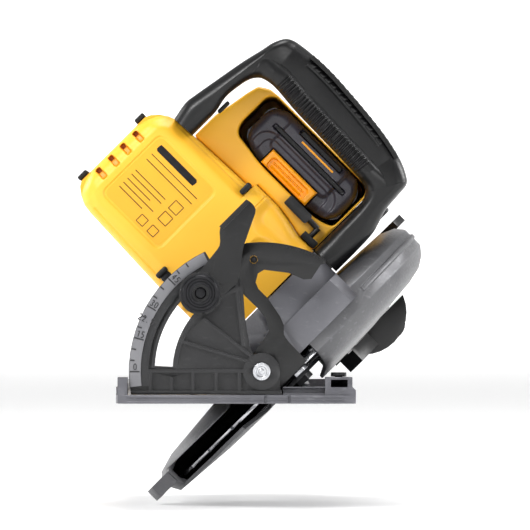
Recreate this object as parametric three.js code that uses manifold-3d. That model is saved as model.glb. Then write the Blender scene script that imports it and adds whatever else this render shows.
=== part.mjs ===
// Cordless rear-handle circular saw with a 190 mm blade, set to a 45 degree bevel at its full
// depth of cut. Millimetres, +Z up. The origin is the point of the sole right below the front
// bevel pivot; +X is the blade side of the saw, +Y is its rear.
//
// Everything that tilts with the bevel hangs in the group `saw`, whose own axes are
// x (across the saw), y (front to rear) and z (up along the blade), with z = 0 on the bevel axis.

import * as THREE from 'three';
import { mergeVertices } from 'three/addons/utils/BufferGeometryUtils.js';
import Module from 'manifold-3d';

const wasm = await Module();
wasm.setup();

// ------------------------------------------------------------------ driving dimensions

const GAP = 0.3;                 // clearance between pieces that touch
const BEVEL = 45;                // bevel that the saw is set to, degrees
const PIVOT_HEIGHT = 18.6;       // bevel axis above the sole

const SHOE = { left: -85, right: 55, front: -12, rear: 285, plate: 5, rim: 9.6 };
const WINDOW = { left: -37, right: 24, front: 22, rear: 242 };   // opening for blade and guard

const QUADRANT = { back: 3, web: -1, front: -5, outer: 77.5, band: 66, slotOut: 62.5, slotIn: 52 };
const STUD = { radius: 58, angle: 172.8, r: 3.2 };               // polar, about the bevel axis
const BRACKET = { front: 3.5, back: 7 };

const DEPTH_PIN = { y: 22, z: 15, r: 4 };                        // the saw tips about this pin
const DEPTH_ARM = { radius: 225.5, half: 6.5, low: -6.6, high: 28.6, left: -6, right: -1 };
const DEPTH_BOLT_ANGLE = -4;

const ARBOR = { y: 125, z: 12 };
const BLADE = { radius: 95, left: 11, right: 12.8, teeth: 24 };
const MOTOR = { y: 110, z: 31 };                                 // motor shaft axis
const MODULE = 1;                                                // size of the gear teeth
const GEAR_TEETH = 39;
const PINION_TEETH = 9;

const UPPER_GUARD = { from: 5, to: 170 };                       // degrees about the arbor
const LOWER_GUARD = { from: 206, rimFrom: 249, to: 373 };

const LEVER_ANGLE = 38;                                          // guard lever, about the arbor

const HOUSING = { front: 70, rear: 150, bottom: -8.5, top: 72, corner: 14, bore: 36 };
const BAY = { front: 94, rear: 230, left: -113, right: -31, bottom: 86, top: 120.8 };
const PACK = { left: -107, right: -31.5, bottom: 87, top: 120.5, front: 95.5, rear: 222 };

const GRIP_TILT = 41.8;                                          // slope of the rear grip, degrees
const GRIP_TOP = { y: 256, z: 104 };                             // trigger pivot on the rear grip

// ------------------------------------------------------------------ finishes

const finish = (color, roughness, metalness = 0) =>
  new THREE.MeshStandardMaterial({ color, roughness, metalness });

const YELLOW = finish(0xfbbd30, 0.45);         // moulded housing
const BUTTON_YELLOW = finish(0xfdb813, 0.5);
const BLACK = finish(0x1d1d1e, 0.5);           // moulded handles
const RUBBER = finish(0x161616, 0.85);
const DARK_STEEL = finish(0x262626, 0.55, 0.3);
const CHARCOAL = finish(0x3a3a3a, 0.6, 0.2);   // painted casting
const SCALE_GREY = finish(0x9a9a9c, 0.5, 0.2);
const CAST_GREY = finish(0x8a8a8c, 0.5, 0.6);
const GUARD_GREY = finish(0x7c7c7c, 0.45, 0.6);
const STEEL = finish(0xc4c6c8, 0.3, 0.9);
const COPPER = finish(0xb06a3a, 0.4, 0.8);
const PACK_GREY = finish(0x55525c, 0.55);

// ------------------------------------------------------------------ shape helpers

const radians = (degrees) => degrees * Math.PI / 180;
const polar = (radius, degrees, a = 0, b = 0) =>
  [a + radius * Math.cos(radians(degrees)), b + radius * Math.sin(radians(degrees))];

// A closed three.js geometry as a solid that can be joined and cut.
function solid(geometry) {
  geometry.deleteAttribute('normal');
  geometry.deleteAttribute('uv');
  const merged = mergeVertices(geometry, 1e-4);
  return new wasm.Manifold(new wasm.Mesh({
    numProp: 3,
    vertProperties: new Float32Array(merged.attributes.position.array),
    triVerts: new Uint32Array(merged.index.array),
  }));
}

// Adds a solid to a group as a named mesh.
function piece(group, name, body, material) {
  const data = body.getMesh();
  const geometry = new THREE.BufferGeometry();
  geometry.setAttribute('position', new THREE.BufferAttribute(new Float32Array(data.vertProperties), 3));
  geometry.setIndex(new THREE.BufferAttribute(new Uint32Array(data.triVerts), 1));
  geometry.computeVertexNormals();
  const mesh = new THREE.Mesh(geometry, material);
  mesh.name = name;
  group.add(mesh);
  return mesh;
}

const join = (...solids) => solids.reduce((all, one) => all.add(one));
const cut = (body, ...tools) => tools.reduce((left, tool) => left.subtract(tool), body);

// A closed outline; every corner is rounded by `radius`, a short edge by less.
function outline(points, radius = 0) {
  const shape = new THREE.Shape();
  const corners = points.map(([a, b]) => new THREE.Vector2(a, b));
  if (radius === 0) return shape.setFromPoints(corners);
  corners.forEach((corner, i) => {
    const before = corners.at(i - 1).clone().sub(corner);
    const after = corners[(i + 1) % corners.length].clone().sub(corner);
    const reach = Math.min(radius, before.length() * 0.45, after.length() * 0.45);
    const start = before.setLength(reach).add(corner);
    const end = after.setLength(reach).add(corner);
    if (i === 0) shape.moveTo(start.x, start.y);
    else shape.lineTo(start.x, start.y);
    shape.quadraticCurveTo(corner.x, corner.y, end.x, end.y);
  });
  shape.closePath();
  return shape;
}

const arc = (radius, from, to, steps, a = 0, b = 0) =>
  Array.from({ length: steps + 1 }, (_, i) => polar(radius, from + (to - from) * i / steps, a, b));

// Part of a ring between two radii and two angles, as an outline.
const ringPart = (inner, outer, from, to, steps, a = 0, b = 0) =>
  outline([...arc(outer, from, to, steps, a, b), ...arc(inner, to, from, steps, a, b)]);

const ACROSS = new THREE.Matrix4().set(0, 0, 1, 0, 1, 0, 0, 0, 0, 1, 0, 0, 0, 0, 0, 1);

function extruded(shape, length, curveSegments) {
  return new THREE.ExtrudeGeometry(shape, { depth: length, bevelEnabled: false, curveSegments });
}

// Outline in (y, z), carried from x0 to x1.
const alongX = (shape, x0, x1, curve = 2) =>
  solid(extruded(shape, x1 - x0, curve).applyMatrix4(ACROSS).translate(x0, 0, 0));

// Outline in (x, z), carried from y0 to y1.
const alongY = (shape, y0, y1, curve = 2) =>
  solid(extruded(shape, y1 - y0, curve).rotateX(Math.PI / 2).translate(0, y1, 0));

// Outline in (x, y), carried from z0 to z1.
const alongZ = (shape, z0, z1, curve = 2) =>
  solid(extruded(shape, z1 - z0, curve).translate(0, 0, z0));

const box = (x0, x1, y0, y1, z0, z1) =>
  solid(new THREE.BoxGeometry(x1 - x0, y1 - y0, z1 - z0)
    .translate((x0 + x1) / 2, (y0 + y1) / 2, (z0 + z1) / 2));

const rodX = (y, z, r, x0, x1, sides = 24) =>
  solid(new THREE.CylinderGeometry(r, r, x1 - x0, sides).rotateZ(-Math.PI / 2)
    .translate((x0 + x1) / 2, y, z));

const rodY = (x, z, r, y0, y1, sides = 24) =>
  solid(new THREE.CylinderGeometry(r, r, y1 - y0, sides).translate(x, (y0 + y1) / 2, z));

const rodZ = (x, y, r, z0, z1, sides = 24) =>
  solid(new THREE.CylinderGeometry(r, r, z1 - z0, sides).rotateX(Math.PI / 2)
    .translate(x, y, (z0 + z1) / 2));

const ringX = (y, z, inner, outer, x0, x1, sides = 32) =>
  cut(rodX(y, z, outer, x0, x1, sides), rodX(y, z, inner, x0 - 1, x1 + 1, sides));

// A closed profile of [x, radius] corners turned about the x direction through (y, z).
function turned(profile, y, z, sides) {
  const points = [...profile, profile[0]].map(([x, r]) => new THREE.Vector2(r, x));
  const body = solid(new THREE.LatheGeometry(points, sides).rotateZ(-Math.PI / 2).translate(0, y, z));
  return body;
}

// A wedge about the arbor between two angles, wide enough to trim the guards.
const wedge = (from, to, x0, x1, reach = 160) =>
  alongX(outline([[ARBOR.y, ARBOR.z], ...arc(reach, from, to, 8, ARBOR.y, ARBOR.z)]), x0, x1);

// A spur gear: each tooth is a straight-sided trapezium.
function gear(y, z, teeth, root, tip, bore, x0, x1, phase = 0) {
  const pitch = 360 / teeth;
  const points = [];
  for (let i = 0; i < teeth; i += 1) {
    const at = phase + i * pitch;
    points.push(polar(root, at - pitch * 0.24, y, z), polar(tip, at - pitch * 0.13, y, z));
    points.push(polar(tip, at + pitch * 0.13, y, z), polar(root, at + pitch * 0.24, y, z));
  }
  return cut(alongX(outline(points), x0, x1), rodX(y, z, bore, x0 - 1, x1 + 1, 16));
}

const root = new THREE.Group();
const saw = new THREE.Group();
saw.position.z = PIVOT_HEIGHT;
saw.rotation.y = radians(BEVEL);
root.add(saw);

// ------------------------------------------------------------------ shoe and bevel quadrant

function shoe() {
  const { left, right, front, rear, plate, rim } = SHOE;
  const sole = alongZ(outline([[left, front], [right, front], [right, rear], [left, rear]], 8), 0, plate);
  const ribs = join(
    box(left, left + 4.5, front + 8, rear - 8, 0, rim),
    box(right - 4, right, front + 8, rear - 8, 0, rim - 2.2),
    box(left + 8, right - 8, rear - 5, rear, 0, rim),
    box(12.5, right - 8, -4, 4, 0, rim),
    box(WINDOW.left - 5, WINDOW.left - 1, WINDOW.front - 6, WINDOW.rear + 6, 0, rim - 1),
    box(WINDOW.right + 1, WINDOW.right + 5, WINDOW.front - 6, ARBOR.y - 30, 0, rim - 1),
    box(WINDOW.right + 1, WINDOW.right + 5, ARBOR.y + 30, WINDOW.rear + 6, 0, rim - 1),
  );
  const fenceBoss = cut(
    alongY(outline([[37, 0], [55, 0], [55, 7.8], [53, 9.8], [53, 15.4], [37, 15.4]]), -10, 6),
    box(40.5, 50, -11, -6, 9.8, 13.8),
    box(30, 60, -4, 2, 6, 12.5),
  );
  const leftBump = box(left + 1, left + 6.8, -10, 6, 0, 15.4);
  const opening = box(WINDOW.left, WINDOW.right, WINDOW.front, WINDOW.rear, -1, rim + 1);
  const fenceSlot = box(left - 1, right + 1, -4, 2, 6, 9);
  const notches = [2.4, 16.1].map((x) => box(x - 0.8, x + 0.8, front - 1, front + 2.5, -1, 6));
  const groove = box(left - 1, right + 1, front - 1, front + 0.8, 1.5, 3.4);
  return cut(join(sole, ribs, fenceBoss, leftBump), opening, fenceSlot, groove, ...notches,
    rodZ(45, -1, 2.6, 11, 17, 16));
}

// The front casting with the bevel arc; its lower edge stands on the shoe.
function frontQuadrant() {
  const { back, web, front, outer, band, slotOut, slotIn } = QUADRANT;
  const base = SHOE.plate + GAP - PIVOT_HEIGHT;
  const plate = alongY(outline([
    [-76.3, base], ...arc(outer, 187.1, 115.2, 14), [-27.5, 60.8], [-14.7, 60.8], [-10.8, 49],
    [-9.8, 32.3], [-6.9, 14.7], ...arc(10.8, 115, 10, 6), [10.8, -8.8], [11.8, base],
  ]), web, back);
  const rib = (points) => alongY(outline(points), front, web + 0.5);
  const upright = (x, top) => rib([[x - 1, base], [x + 1, base], [x + 1, top], [x - 1, top]]);
  const bar = ([x0, z0], [x1, z1], half = 1) => {
    const length = Math.hypot(x1 - x0, z1 - z0);
    const [nx, nz] = [(z0 - z1) / length * half, (x1 - x0) / length * half];
    return rib([[x0 + nx, z0 + nz], [x1 + nx, z1 + nz], [x1 - nx, z1 - nz], [x0 - nx, z0 - nz]]);
  };
  const ribs = join(
    alongY(ringPart(band, outer, 187.1, 115.2, 14), front, web + 0.5),
    alongY(ringPart(slotIn - 3, slotIn, 178, 104, 12), front, web + 0.5),
    alongY(ringPart(slotOut, slotOut + 1.8, 178, 115, 12), front, web + 0.5),
    bar([-75, 0.4], [-8, 0.4]), bar([-8, 6], [-46, 17.5]), bar([-6, 9], [-34, 31]),
    bar([-10.8, 14.7], [-15.5, 59]), upright(-40, 0), upright(-26.5, 0), upright(-13, 0),
    upright(-65, 0), upright(-52.5, -3),
    rib([[-76.3, base], [11.8, base], [11.8, base + 2.2], [-76.3, base + 2.2]]),
    rodY(0, 0, 10.8, front, web + 0.5, 28),
  );
  const slot = alongY(ringPart(slotIn, slotOut, 177, 115.5, 16), front - 1, back + 1);
  return cut(join(plate, ribs), slot, rodY(0, 0, 4.3, front - 1, back + 1, 20));
}

// Graduated arc on the face of the quadrant.
function bevelScale() {
  const { outer, front } = QUADRANT;
  const face = front - GAP;
  return alongY(ringPart(outer - 7, outer - 0.3, 186.8, 116, 24), face - 1, face);
}

function frontPivotBolt() {
  const face = QUADRANT.front - GAP;
  const head = rodY(0, 0, 5.2, face - 3.2, face, 28);
  const dimple = rodY(0, 0, 3, face - 4, face - 2.2, 20);
  return join(cut(head, dimple), rodY(0, 0, 1.6, face - 3, face, 16), rodY(0, 0, 4, face - 0.5, 10.5, 20),
    rodY(0, 0, 6, 10.5, 14, 6));
}

// Upright at the back of the shoe that carries the rear bevel pivot.
function rearPivotBracket() {
  const base = SHOE.plate + GAP - PIVOT_HEIGHT;
  const plate = alongY(outline([[-15, base], [15, base], ...arc(9.5, 0, 180, 10)]), 272, 276);
  const foot = box(-26, 26, 262, 276, base, base + 3.5);
  return cut(join(plate, foot), rodY(0, 0, 4.4, 260, 280, 20));
}

const rearPivotPin = () =>
  join(rodY(0, 0, 4, 257, 277, 20), rodY(0, 0, 6.5, 276 + GAP, 279.5, 24));

// Low screw that clamps a rip fence in the slot through the shoe, with a socket in its head.
function fenceScrew() {
  const [x, y] = [45, -1];
  const top = 15.4 + GAP;
  const head = cut(rodZ(x, y, 4.6, top, top + 2.4, 24), rodZ(x, y, 2, top + 0.9, top + 3, 6));
  return join(head, rodZ(x, y, 2.2, 12.6, top + 0.5, 16));
}

const shoeGroup = new THREE.Group();
shoeGroup.position.z = PIVOT_HEIGHT;        // pieces drawn about the bevel axis, not tilted
root.add(shoeGroup);

piece(root, 'shoe', shoe(), CAST_GREY);
piece(shoeGroup, 'front_quadrant', frontQuadrant(), CHARCOAL);
piece(shoeGroup, 'bevel_scale', bevelScale(), SCALE_GREY);
piece(shoeGroup, 'front_pivot_bolt', frontPivotBolt(), STEEL);
piece(shoeGroup, 'rear_pivot_bracket', rearPivotBracket(), CHARCOAL);
piece(shoeGroup, 'rear_pivot_pin', rearPivotPin(), STEEL);
piece(root, 'fence_screw', fenceScrew(), DARK_STEEL);

// ------------------------------------------------------------------ bevel carriage

const studAt = polar(STUD.radius, STUD.angle);

// Pressed plate behind the quadrant: bevel stud at one end, depth pin at the other.
function bevelBracket() {
  const { front, back } = BRACKET;
  const plate = alongY(outline([
    ...arc(75.5, 105, 143, 7), ...arc(69, 146, 184, 6), ...arc(48.5, 184, 150, 5),
    [-27.5, 24.5], [-19.6, 23.5], [-13.7, 19.6], [-11.8, 12], ...arc(10.8, 200, 300, 6),
    [14.4, 2], [14.4, 23], [-2, 23.5], [-6, 24.5], [-10, 28.4], [-15, 30.4], [-27.5, 32.8],
    [-35.3, 32.8], [-39.2, 34.3], [-42, 39], [-41, 43], [-35.3, 47.5], [-29.4, 52], [-20.6, 55.4],
    [-17.6, 58.8], [-19.6, 68.6], [-18.2, 70.6],
  ]), front, back);
  const { y, z } = DEPTH_PIN;
  const flange = join(box(10.2, 14.4, front, y, 5, z + 7.5), rodX(y, z, 7.5, 10.2, 14.4, 20));
  return cut(join(plate, flange), rodX(y, z, DEPTH_PIN.r + GAP, 9, 16, 20),
    box(9, 16, y - 4, y + 10, -4, z - 7.4),
    rodY(0, 0, 4.3, 0, 12, 20), rodY(...studAt, STUD.r + GAP, 0, 12, 16),
    rodY(-49.5, 43, 2.3, 0, 12, 12));
}

const depthPivotPin = () => join(
  rodX(DEPTH_PIN.y, DEPTH_PIN.z, DEPTH_PIN.r, -9.6, 15, 20),
  rodX(DEPTH_PIN.y, DEPTH_PIN.z, 6.5, 14.4 + GAP, 17.4, 6),
);

const bevelStud = () => join(
  rodY(...studAt, STUD.r, -12, 9, 16),
  rodY(...studAt, 6.5, BRACKET.back + GAP, 11, 6),
);

// Curved arm at the back; the depth bolt runs in its slot.
function depthArm() {
  const { radius, half, low, high, left, right } = DEPTH_ARM;
  const { y, z } = DEPTH_PIN;
  const arm = alongX(ringPart(radius - half, radius + half, low, high, 12, y, z), left, right);
  const foot = alongX(outline([[240, -9], [264, -6.5], [264, 6.5], [250, 14]]), left, right);
  const barrel = rodY(0, 0, 7, 255, 269, 24);
  const reach = DEPTH_BOLT_ANGLE;
  const slot = alongX(ringPart(radius - 3.3, radius + 3.3, reach - 1.4, high - 1.2, 12, y, z), -8, 1);
  return cut(join(arm, foot, barrel), slot, rodY(0, 0, 4 + GAP, 250, 272, 20));
}

// Cast lever that clamps the quadrant, with a notched round head.
function bevelLever() {
  const [x, z] = studAt;
  const back = QUADRANT.front - 1.7;
  const arm = alongY(outline([
    [x - 9, z + 6], [-69, 35], [-76.8, 42], [-77, 64], [-74.5, 65.6], [-69, 65], [-59, 44],
    [x + 11, z + 20], [x + 10, z + 2],
  ], 2.5), back - 5, back);
  const flange = alongY(outline([[-77.3, 42.5], [-74.6, 42.5], [-74.6, 65.4], [-77.3, 64.8]]),
    back - 9.5, back);
  const notches = Array.from({ length: 10 }, (_, i) =>
    rodY(...polar(12.9, i * 36, x, z), 1.3, back - 10, back - 4, 8));
  const head = cut(rodY(x, z, 12.7, back - 8.5, back, 40), ...notches,
    cut(rodY(x, z, 10.2, back - 9, back - 7, 32), rodY(x, z, 7, back - 9, back - 7, 32)));
  return cut(join(arm, flange, head), rodY(x, z, STUD.r + GAP, back - 10, back + 1, 16),
    rodY(x, z, 4.6, back - 10, back - 5.5, 20));
}

piece(saw, 'bevel_bracket', bevelBracket(), DARK_STEEL);
piece(saw, 'depth_pivot_pin', depthPivotPin(), STEEL);
piece(saw, 'bevel_stud', bevelStud(), STEEL);
piece(saw, 'depth_arm', depthArm(), DARK_STEEL);
piece(saw, 'bevel_lever', bevelLever(), DARK_STEEL);

// ------------------------------------------------------------------ guards and gear case

function guardShell(profile, sides, from, to) {
  return turned(profile, ARBOR.y, ARBOR.z, sides).intersect(wedge(from, to, -20, 50));
}

function upperGuard() {
  const shell = guardShell([
    [-8.7, 40], [-8.5, 68], [-7, 95], [-3, 104], [2, 108.2], [15, 108.2], [20, 104],
    [24, 98], [26.2, 88], [29.2, 56], [26.8, 56], [23.6, 87.5], [19.5, 101.5], [14, 105.8],
    [3, 105.8], [-1.2, 102], [-4.8, 94], [-6.3, 68], [-6.3, 40],
  ], 48, UPPER_GUARD.from, UPPER_GUARD.to);
  const ridge = guardShell([[6.2, 107], [6.6, 109.5], [9.4, 109.5], [9.8, 107]], 48, 24, 144);
  const heel = box(16, 32, 100, 240, -5, 27);
  return cut(join(shell, ridge), heel);
}

function gearCase() {
  const { y, z } = ARBOR;
  const chamberLeft = -27;
  const body = alongX(outline([
    [15, 28], [19.5, 38], [35.5, 62], [41.5, 71.5], [150, 71.5], [172, 62], [182, 40],
    [182, 2], [172, -8], [150, -12], [80, -12], [50, 0], [28, 22],
  ]), chamberLeft, -9.1);
  const noseRim = cut(
    alongX(outline([[14.5, 22.5], [14.5, 27], [17, 38], [18.5, 50], [24, 66], [33, 71.5],
      [60, 71.5], [60, 22.5]]), -9.5, 8.5),
    rodX(y, z, 109.6, -9.4, 12, 96),
  );
  const ear = join(rodX(DEPTH_PIN.y, DEPTH_PIN.z, 7.5, -9.2, 8.5, 20),
    box(-9.2, 8.5, 14.5, 29, DEPTH_PIN.z, 26.5),
    alongX(outline([[14.5, 15], [29, 15], [40, 26.5], [14, 26.5]]), -14, -9.1));
  const collar = rodX(y, z, 32.3, -10, 3.6, 40);
  const rearRib = alongX(outline([[175, -9], [243, -8.5], [255, -4], [255, 5], [245, 12],
    [182, 26], [175, 26]], 3), -13.5, -9.1);
  const bearingSeat = rodX(y, z, 13.3, -9, 5, 32);
  const gearRoom = join(rodX(y, z, 22, chamberLeft - 1, -12.5, 40),
    rodX(MOTOR.y, MOTOR.z, 8, chamberLeft - 1, -12.5, 20));
  const boltAt = polar(DEPTH_ARM.radius, DEPTH_BOLT_ANGLE, DEPTH_PIN.y, DEPTH_PIN.z);
  const lockBore = rodY(-20, z, 3.3, 140, 190, 16);
  return cut(join(body, noseRim, ear, collar, rearRib), gearRoom, bearingSeat,
    rodX(y, z, 7, -14, -8, 24), rodX(DEPTH_PIN.y, DEPTH_PIN.z, DEPTH_PIN.r + GAP, -15, 12, 20),
    rodX(...boltAt, 3.3, -15, -5, 16), lockBore);
}

function lowerGuard() {
  const { y, z } = ARBOR;
  const walls = guardShell([
    [-5.5, 32.7], [-5.5, 45], [-2, 87], [1.5, 99], [4.5, 101.5], [12, 101.5], [17.5, 98.5],
    [20.3, 62], [20.3, 38], [18.1, 38], [18.1, 62], [15.4, 96.6], [11.5, 99], [5, 99],
    [0.2, 87], [-3.2, 45], [-3.2, 32.7],
  ], 44, LOWER_GUARD.from, LOWER_GUARD.to);
  const mouth = wedge(LOWER_GUARD.from - 2, LOWER_GUARD.rimFrom, 2.2, 15.4, 110);
  const toe = cut(
    alongX(outline(arc(114.5, 251, 259, 3, y, z).concat(arc(100.5, 263, 250, 4, y, z))), 3.6, 11.6),
    rodX(y, z, 99.5, 3, 12, 56),
  );
  return join(cut(walls, mouth), toe,
    ringX(y, z, 32.7, 46, -5.5, -3.2, 36), ringX(y, z, 38, 53, 18.1, 20.3, 36));
}

// Lever that draws the lower guard back: a foot on the guard's ring, then a ribbed thumb pad.
function guardLever() {
  const { y, z } = ARBOR;
  const along = (angle) => (body) =>
    body.rotate([angle, 0, 0]).translate([0, y, z]);
  const left = 20.3 + GAP;
  const bar = join(box(left, 31.5, 42, 53, -6.5, 6.5), box(31, 40.5, 47.5, 70, -6.5, 6.5));
  const ribs = Array.from({ length: 5 }, (_, i) =>
    box(32, 39.5, 57 + 2.6 * i, 58 + 2.6 * i, -7.3, -6));
  return along(LEVER_ANGLE)(join(bar, ...ribs));
}

const guardSpring = () => ringX(ARBOR.y, ARBOR.z, 32.9, 35.5, -2.9, 1.5, 32);

// Curved duct on the blade side of the upper guard, open at the back.
function dustSpout() {
  const hood = cut(
    rodY(21, 68, 26, 202, 226, 32), box(-10, 30.2, 170, 230, 30, 100),
  );
  const outlet = cut(rodY(37, 74, 10, 220, 246, 24), box(-10, 30.2, 205, 250, 30, 100));
  const duct = rodY(38, 74, 6.8, 206, 250, 20);
  return cut(join(hood, outlet), duct);
}

const spindleLock = () => join(
  rodY(-20, ARBOR.z, 6, 185.6, 191, 20), rodY(-20, ARBOR.z, 3, 152, 186, 16),
);

const boltAt = polar(DEPTH_ARM.radius, DEPTH_BOLT_ANGLE, DEPTH_PIN.y, DEPTH_PIN.z);

const depthBolt = () => join(
  rodX(...boltAt, 2.9, -23, -0.5, 16), rodX(...boltAt, 6, -1 + GAP, 3, 6),
);

// Lever on the depth bolt, lying back along the shoe when the depth is clamped.
function depthLever() {
  const [y, z] = boltAt;
  const arm = alongX(outline([[y, z - 5.5], [y + 30, z - 4.5], [y + 44, z - 2], [y + 44, z + 3.5],
    [y + 30, z + 4.5], [y, z + 5.5]], 2), -24, -18);
  const hub = rodX(y, z, 8.5, -24, -13.5 - GAP, 24);
  return cut(join(arm, hub), rodX(y, z, 2.9 + GAP, -25, -11, 16));
}

piece(saw, 'upper_guard', upperGuard(), GUARD_GREY);
piece(saw, 'gear_case', gearCase(), CAST_GREY);
piece(saw, 'lower_guard', lowerGuard(), GUARD_GREY);
piece(saw, 'guard_lever', guardLever(), BLACK);
piece(saw, 'guard_spring', guardSpring(), STEEL);
piece(saw, 'dust_spout', dustSpout(), BLACK);
piece(saw, 'spindle_lock', spindleLock(), BLACK);
piece(saw, 'depth_bolt', depthBolt(), STEEL);
piece(saw, 'depth_lever', depthLever(), BLACK);

// ------------------------------------------------------------------ blade and drive

// Toothed disc; each tooth has a steep face and a long back.
function sawBlade() {
  const { y, z } = ARBOR;
  const points = [];
  for (let i = 0; i < BLADE.teeth; i += 1) {
    const at = i * 360 / BLADE.teeth;
    points.push(polar(BLADE.radius, at, y, z), polar(BLADE.radius - 6.5, at + 1.8, y, z));
    points.push(polar(BLADE.radius - 8, at + 4.5, y, z), polar(BLADE.radius - 3.4, at + 8, y, z));
  }
  return cut(alongX(outline(points), BLADE.left, BLADE.right), rodX(y, z, 6.4, 8, 15, 24));
}

const spindle = () => {
  const { y, z } = ARBOR;
  const shaft = join(rodX(y, z, 6, -26.5, 17.5, 24), rodX(y, z, 9, 2.6, 4, 24));
  return cut(shaft, rodX(y, z, 3.3, 5, 18, 16));
};

const flange = (x0, x1) => ringX(ARBOR.y, ARBOR.z, 6.4, 20, x0, x1, 32);

const bladeBolt = () => join(
  rodX(ARBOR.y, ARBOR.z, 10.5, 17.5 + GAP, 19.6, 24), rodX(ARBOR.y, ARBOR.z, 7.5, 19, 24.5, 6),
  rodX(ARBOR.y, ARBOR.z, 3, 6, 19, 16),
);

function rotor() {
  const { y, z } = MOTOR;
  return join(rodX(y, z, 4, -147, -27.4, 20), rodX(y, z, 2, -28, -14, 16),
    rodX(y, z, 20.5, -116, -82, 32));
}

// Radial fan with nine straight blades.
function coolingFan() {
  const { y, z } = MOTOR;
  const blades = Array.from({ length: 9 }, (_, i) =>
    box(-65, -56, 10, 32, -0.8, 0.8).rotate([i * 40, 0, 0]).translate([0, y, z]));
  return cut(join(rodX(y, z, 33, -67, -65, 36), rodX(y, z, 11, -67, -56, 24), ...blades),
    rodX(y, z, 4.3, -68, -55, 20));
}

piece(saw, 'saw_blade', sawBlade(), STEEL);
piece(saw, 'spindle', spindle(), STEEL);
piece(saw, 'inner_flange', flange(4.5, BLADE.left - GAP), STEEL);
piece(saw, 'outer_flange', flange(BLADE.right + GAP, 16.5), STEEL);
piece(saw, 'blade_bolt', bladeBolt(), DARK_STEEL);
piece(saw, 'drive_gear', gear(ARBOR.y, ARBOR.z, GEAR_TEETH, 18.2 * MODULE, 20 * MODULE, 6.3,
  -25, -15), STEEL);
piece(saw, 'rotor', rotor(), STEEL);
piece(saw, 'motor_pinion', gear(MOTOR.y, MOTOR.z, PINION_TEETH, 3.3, 5, 2.3, -25, -15, 4.3), STEEL);
piece(saw, 'cooling_fan', coolingFan(), BLACK);
piece(saw, 'spindle_bearing', ringX(ARBOR.y, ARBOR.z, 6.3, 13, -7.5, 2.2), STEEL);

// ------------------------------------------------------------------ motor housing

// The housing's cross-section, carried across the saw from x0 to x1.
function housingBar(x0, x1, inset = 0) {
  const { front, rear, bottom, top, corner } = HOUSING;
  return alongX(outline([[front + inset, bottom + inset], [rear - inset, bottom + inset],
    [rear - inset, top - inset], [front + inset, top - inset]], corner), x0, x1, 4);
}

function motorHousing() {
  const { y, z } = MOTOR;
  const { front, bottom, top, bore } = HOUSING;
  const [left, right] = [-80.4, -28];
  const body = housingBar(left, right);
  const step = box(left, -60, front + 8, 120, top - 10, 76);
  const screwFoot = [box(left, left + 4, front + 2, front + 14, 64, 74),
    box(left, left + 4, front + 2, front + 14, bottom + 1, 4)];
  const room = rodX(y, z, bore, left - 1, right - 6, 40);
  const scoop = rodX(front - 16, 82, 22, -70, -38, 32);
  const shaftBore = rodX(y, z, 9.3, right - 8, right + 1, 24);
  return cut(join(body, step, ...screwFoot), room, scoop, shaftBore);
}

function motorEndCap() {
  const { y, z } = MOTOR;
  const { front, rear, bottom, bore } = HOUSING;
  const right = -80.7;
  const face = alongY(outline([[-155.5, 2], [-144, -5.5], [-80.7, bottom], [-80.7, 71.8],
    [-141, 69.5], [-150, 65], [-155.5, 59]]), front - 1, rear + 1);
  const room = rodX(y, z, bore, -152, right + 1, 40);
  const seat = cut(rodX(y, z, 12.5, -153, -141, 24), rodX(y, z, 9.3, -150.5, -140, 24));
  const vents = [[44.5, 48], [34, 37.5], [24, 27.5], [13.5, 17]].map(([low, high]) =>
    box(-153.8, -146.2, front - 1, front + 12, low, high));
  const panel = box(-142, -93.5, front - 1, front + 1, 6.5, 57);
  return cut(join(cut(face.intersect(housingBar(-156, right)), room), seat), panel, ...vents);
}

const bumper = (low, high) => box(-158.8, -155.5 - GAP, 84, 136, low, high);

const bearing = (x0, x1) => ringX(MOTOR.y, MOTOR.z, 4 + GAP, 9, x0, x1, 24);

piece(saw, 'motor_housing', motorHousing(), YELLOW);
piece(saw, 'motor_end_cap', motorEndCap(), YELLOW);
piece(saw, 'bumper_top', bumper(51, 58), RUBBER);
piece(saw, 'bumper_bottom', bumper(3, 10), RUBBER);
piece(saw, 'stator', ringX(MOTOR.y, MOTOR.z, 21.5, HOUSING.bore - GAP, -118, -81, 36), COPPER);
piece(saw, 'outer_bearing', bearing(-146.5, -141), STEEL);
piece(saw, 'inner_bearing', bearing(-34, -28), STEEL);

// ------------------------------------------------------------------ battery and its bay

function batteryBay() {
  const { front, rear, left, right, bottom, top } = BAY;
  const floor = HOUSING.top + 4.3;
  const frame = alongY(outline([
    [-127, HOUSING.top + GAP], [-127, 88], [-125, 98], [-123, 110], [-121, 118], [-115, 122.7],
    [-108, 123.7], [-31, 123.7], [-28.6, 120], [-28.6, floor], [-80.7, floor], [-80.7, HOUSING.top + GAP],
  ]), front, rear);
  const mouth = alongY(outline([
    [left, 95], [left + 3.5, 89], [left + 13, 88], [left + 23, 86.4], [-82, bottom], [-43, bottom],
    [-35, 88], [right, 90], [right, top - 4], [right - 4, top], [left + 4, top], [left, top - 4],
  ]), front - 1, rear - 4);
  const wiring = box(-118, -84, front + 4, rear + 1, floor, 83);
  return cut(frame, mouth, wiring);
}

function batteryPack() {
  const { left, right, bottom, top, front, rear } = PACK;
  const shell = alongY(outline([
    [left, 95.5], [left + 8, 89], [-88, bottom], [-51, bottom], [right - 7, 89.5], [right, 95.5],
    [right, 111], [right - 8, top], [left + 10, top], [left, 115.5],
  ]), front, rear);
  const buttonRoom = box(-88.5, -50.5, front - 1, front + 7, bottom - 1, 98.5);
  const grooves = [box(-97, -40, front - 1, front + 2, 107.5, 110),
    box(-83, -50, front - 1, front + 2, 116, 119)];
  const socket = box(-91, -49, 200, rear + 1, 108, top + 1);
  return cut(shell, buttonRoom, ...grooves, socket);
}

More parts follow.
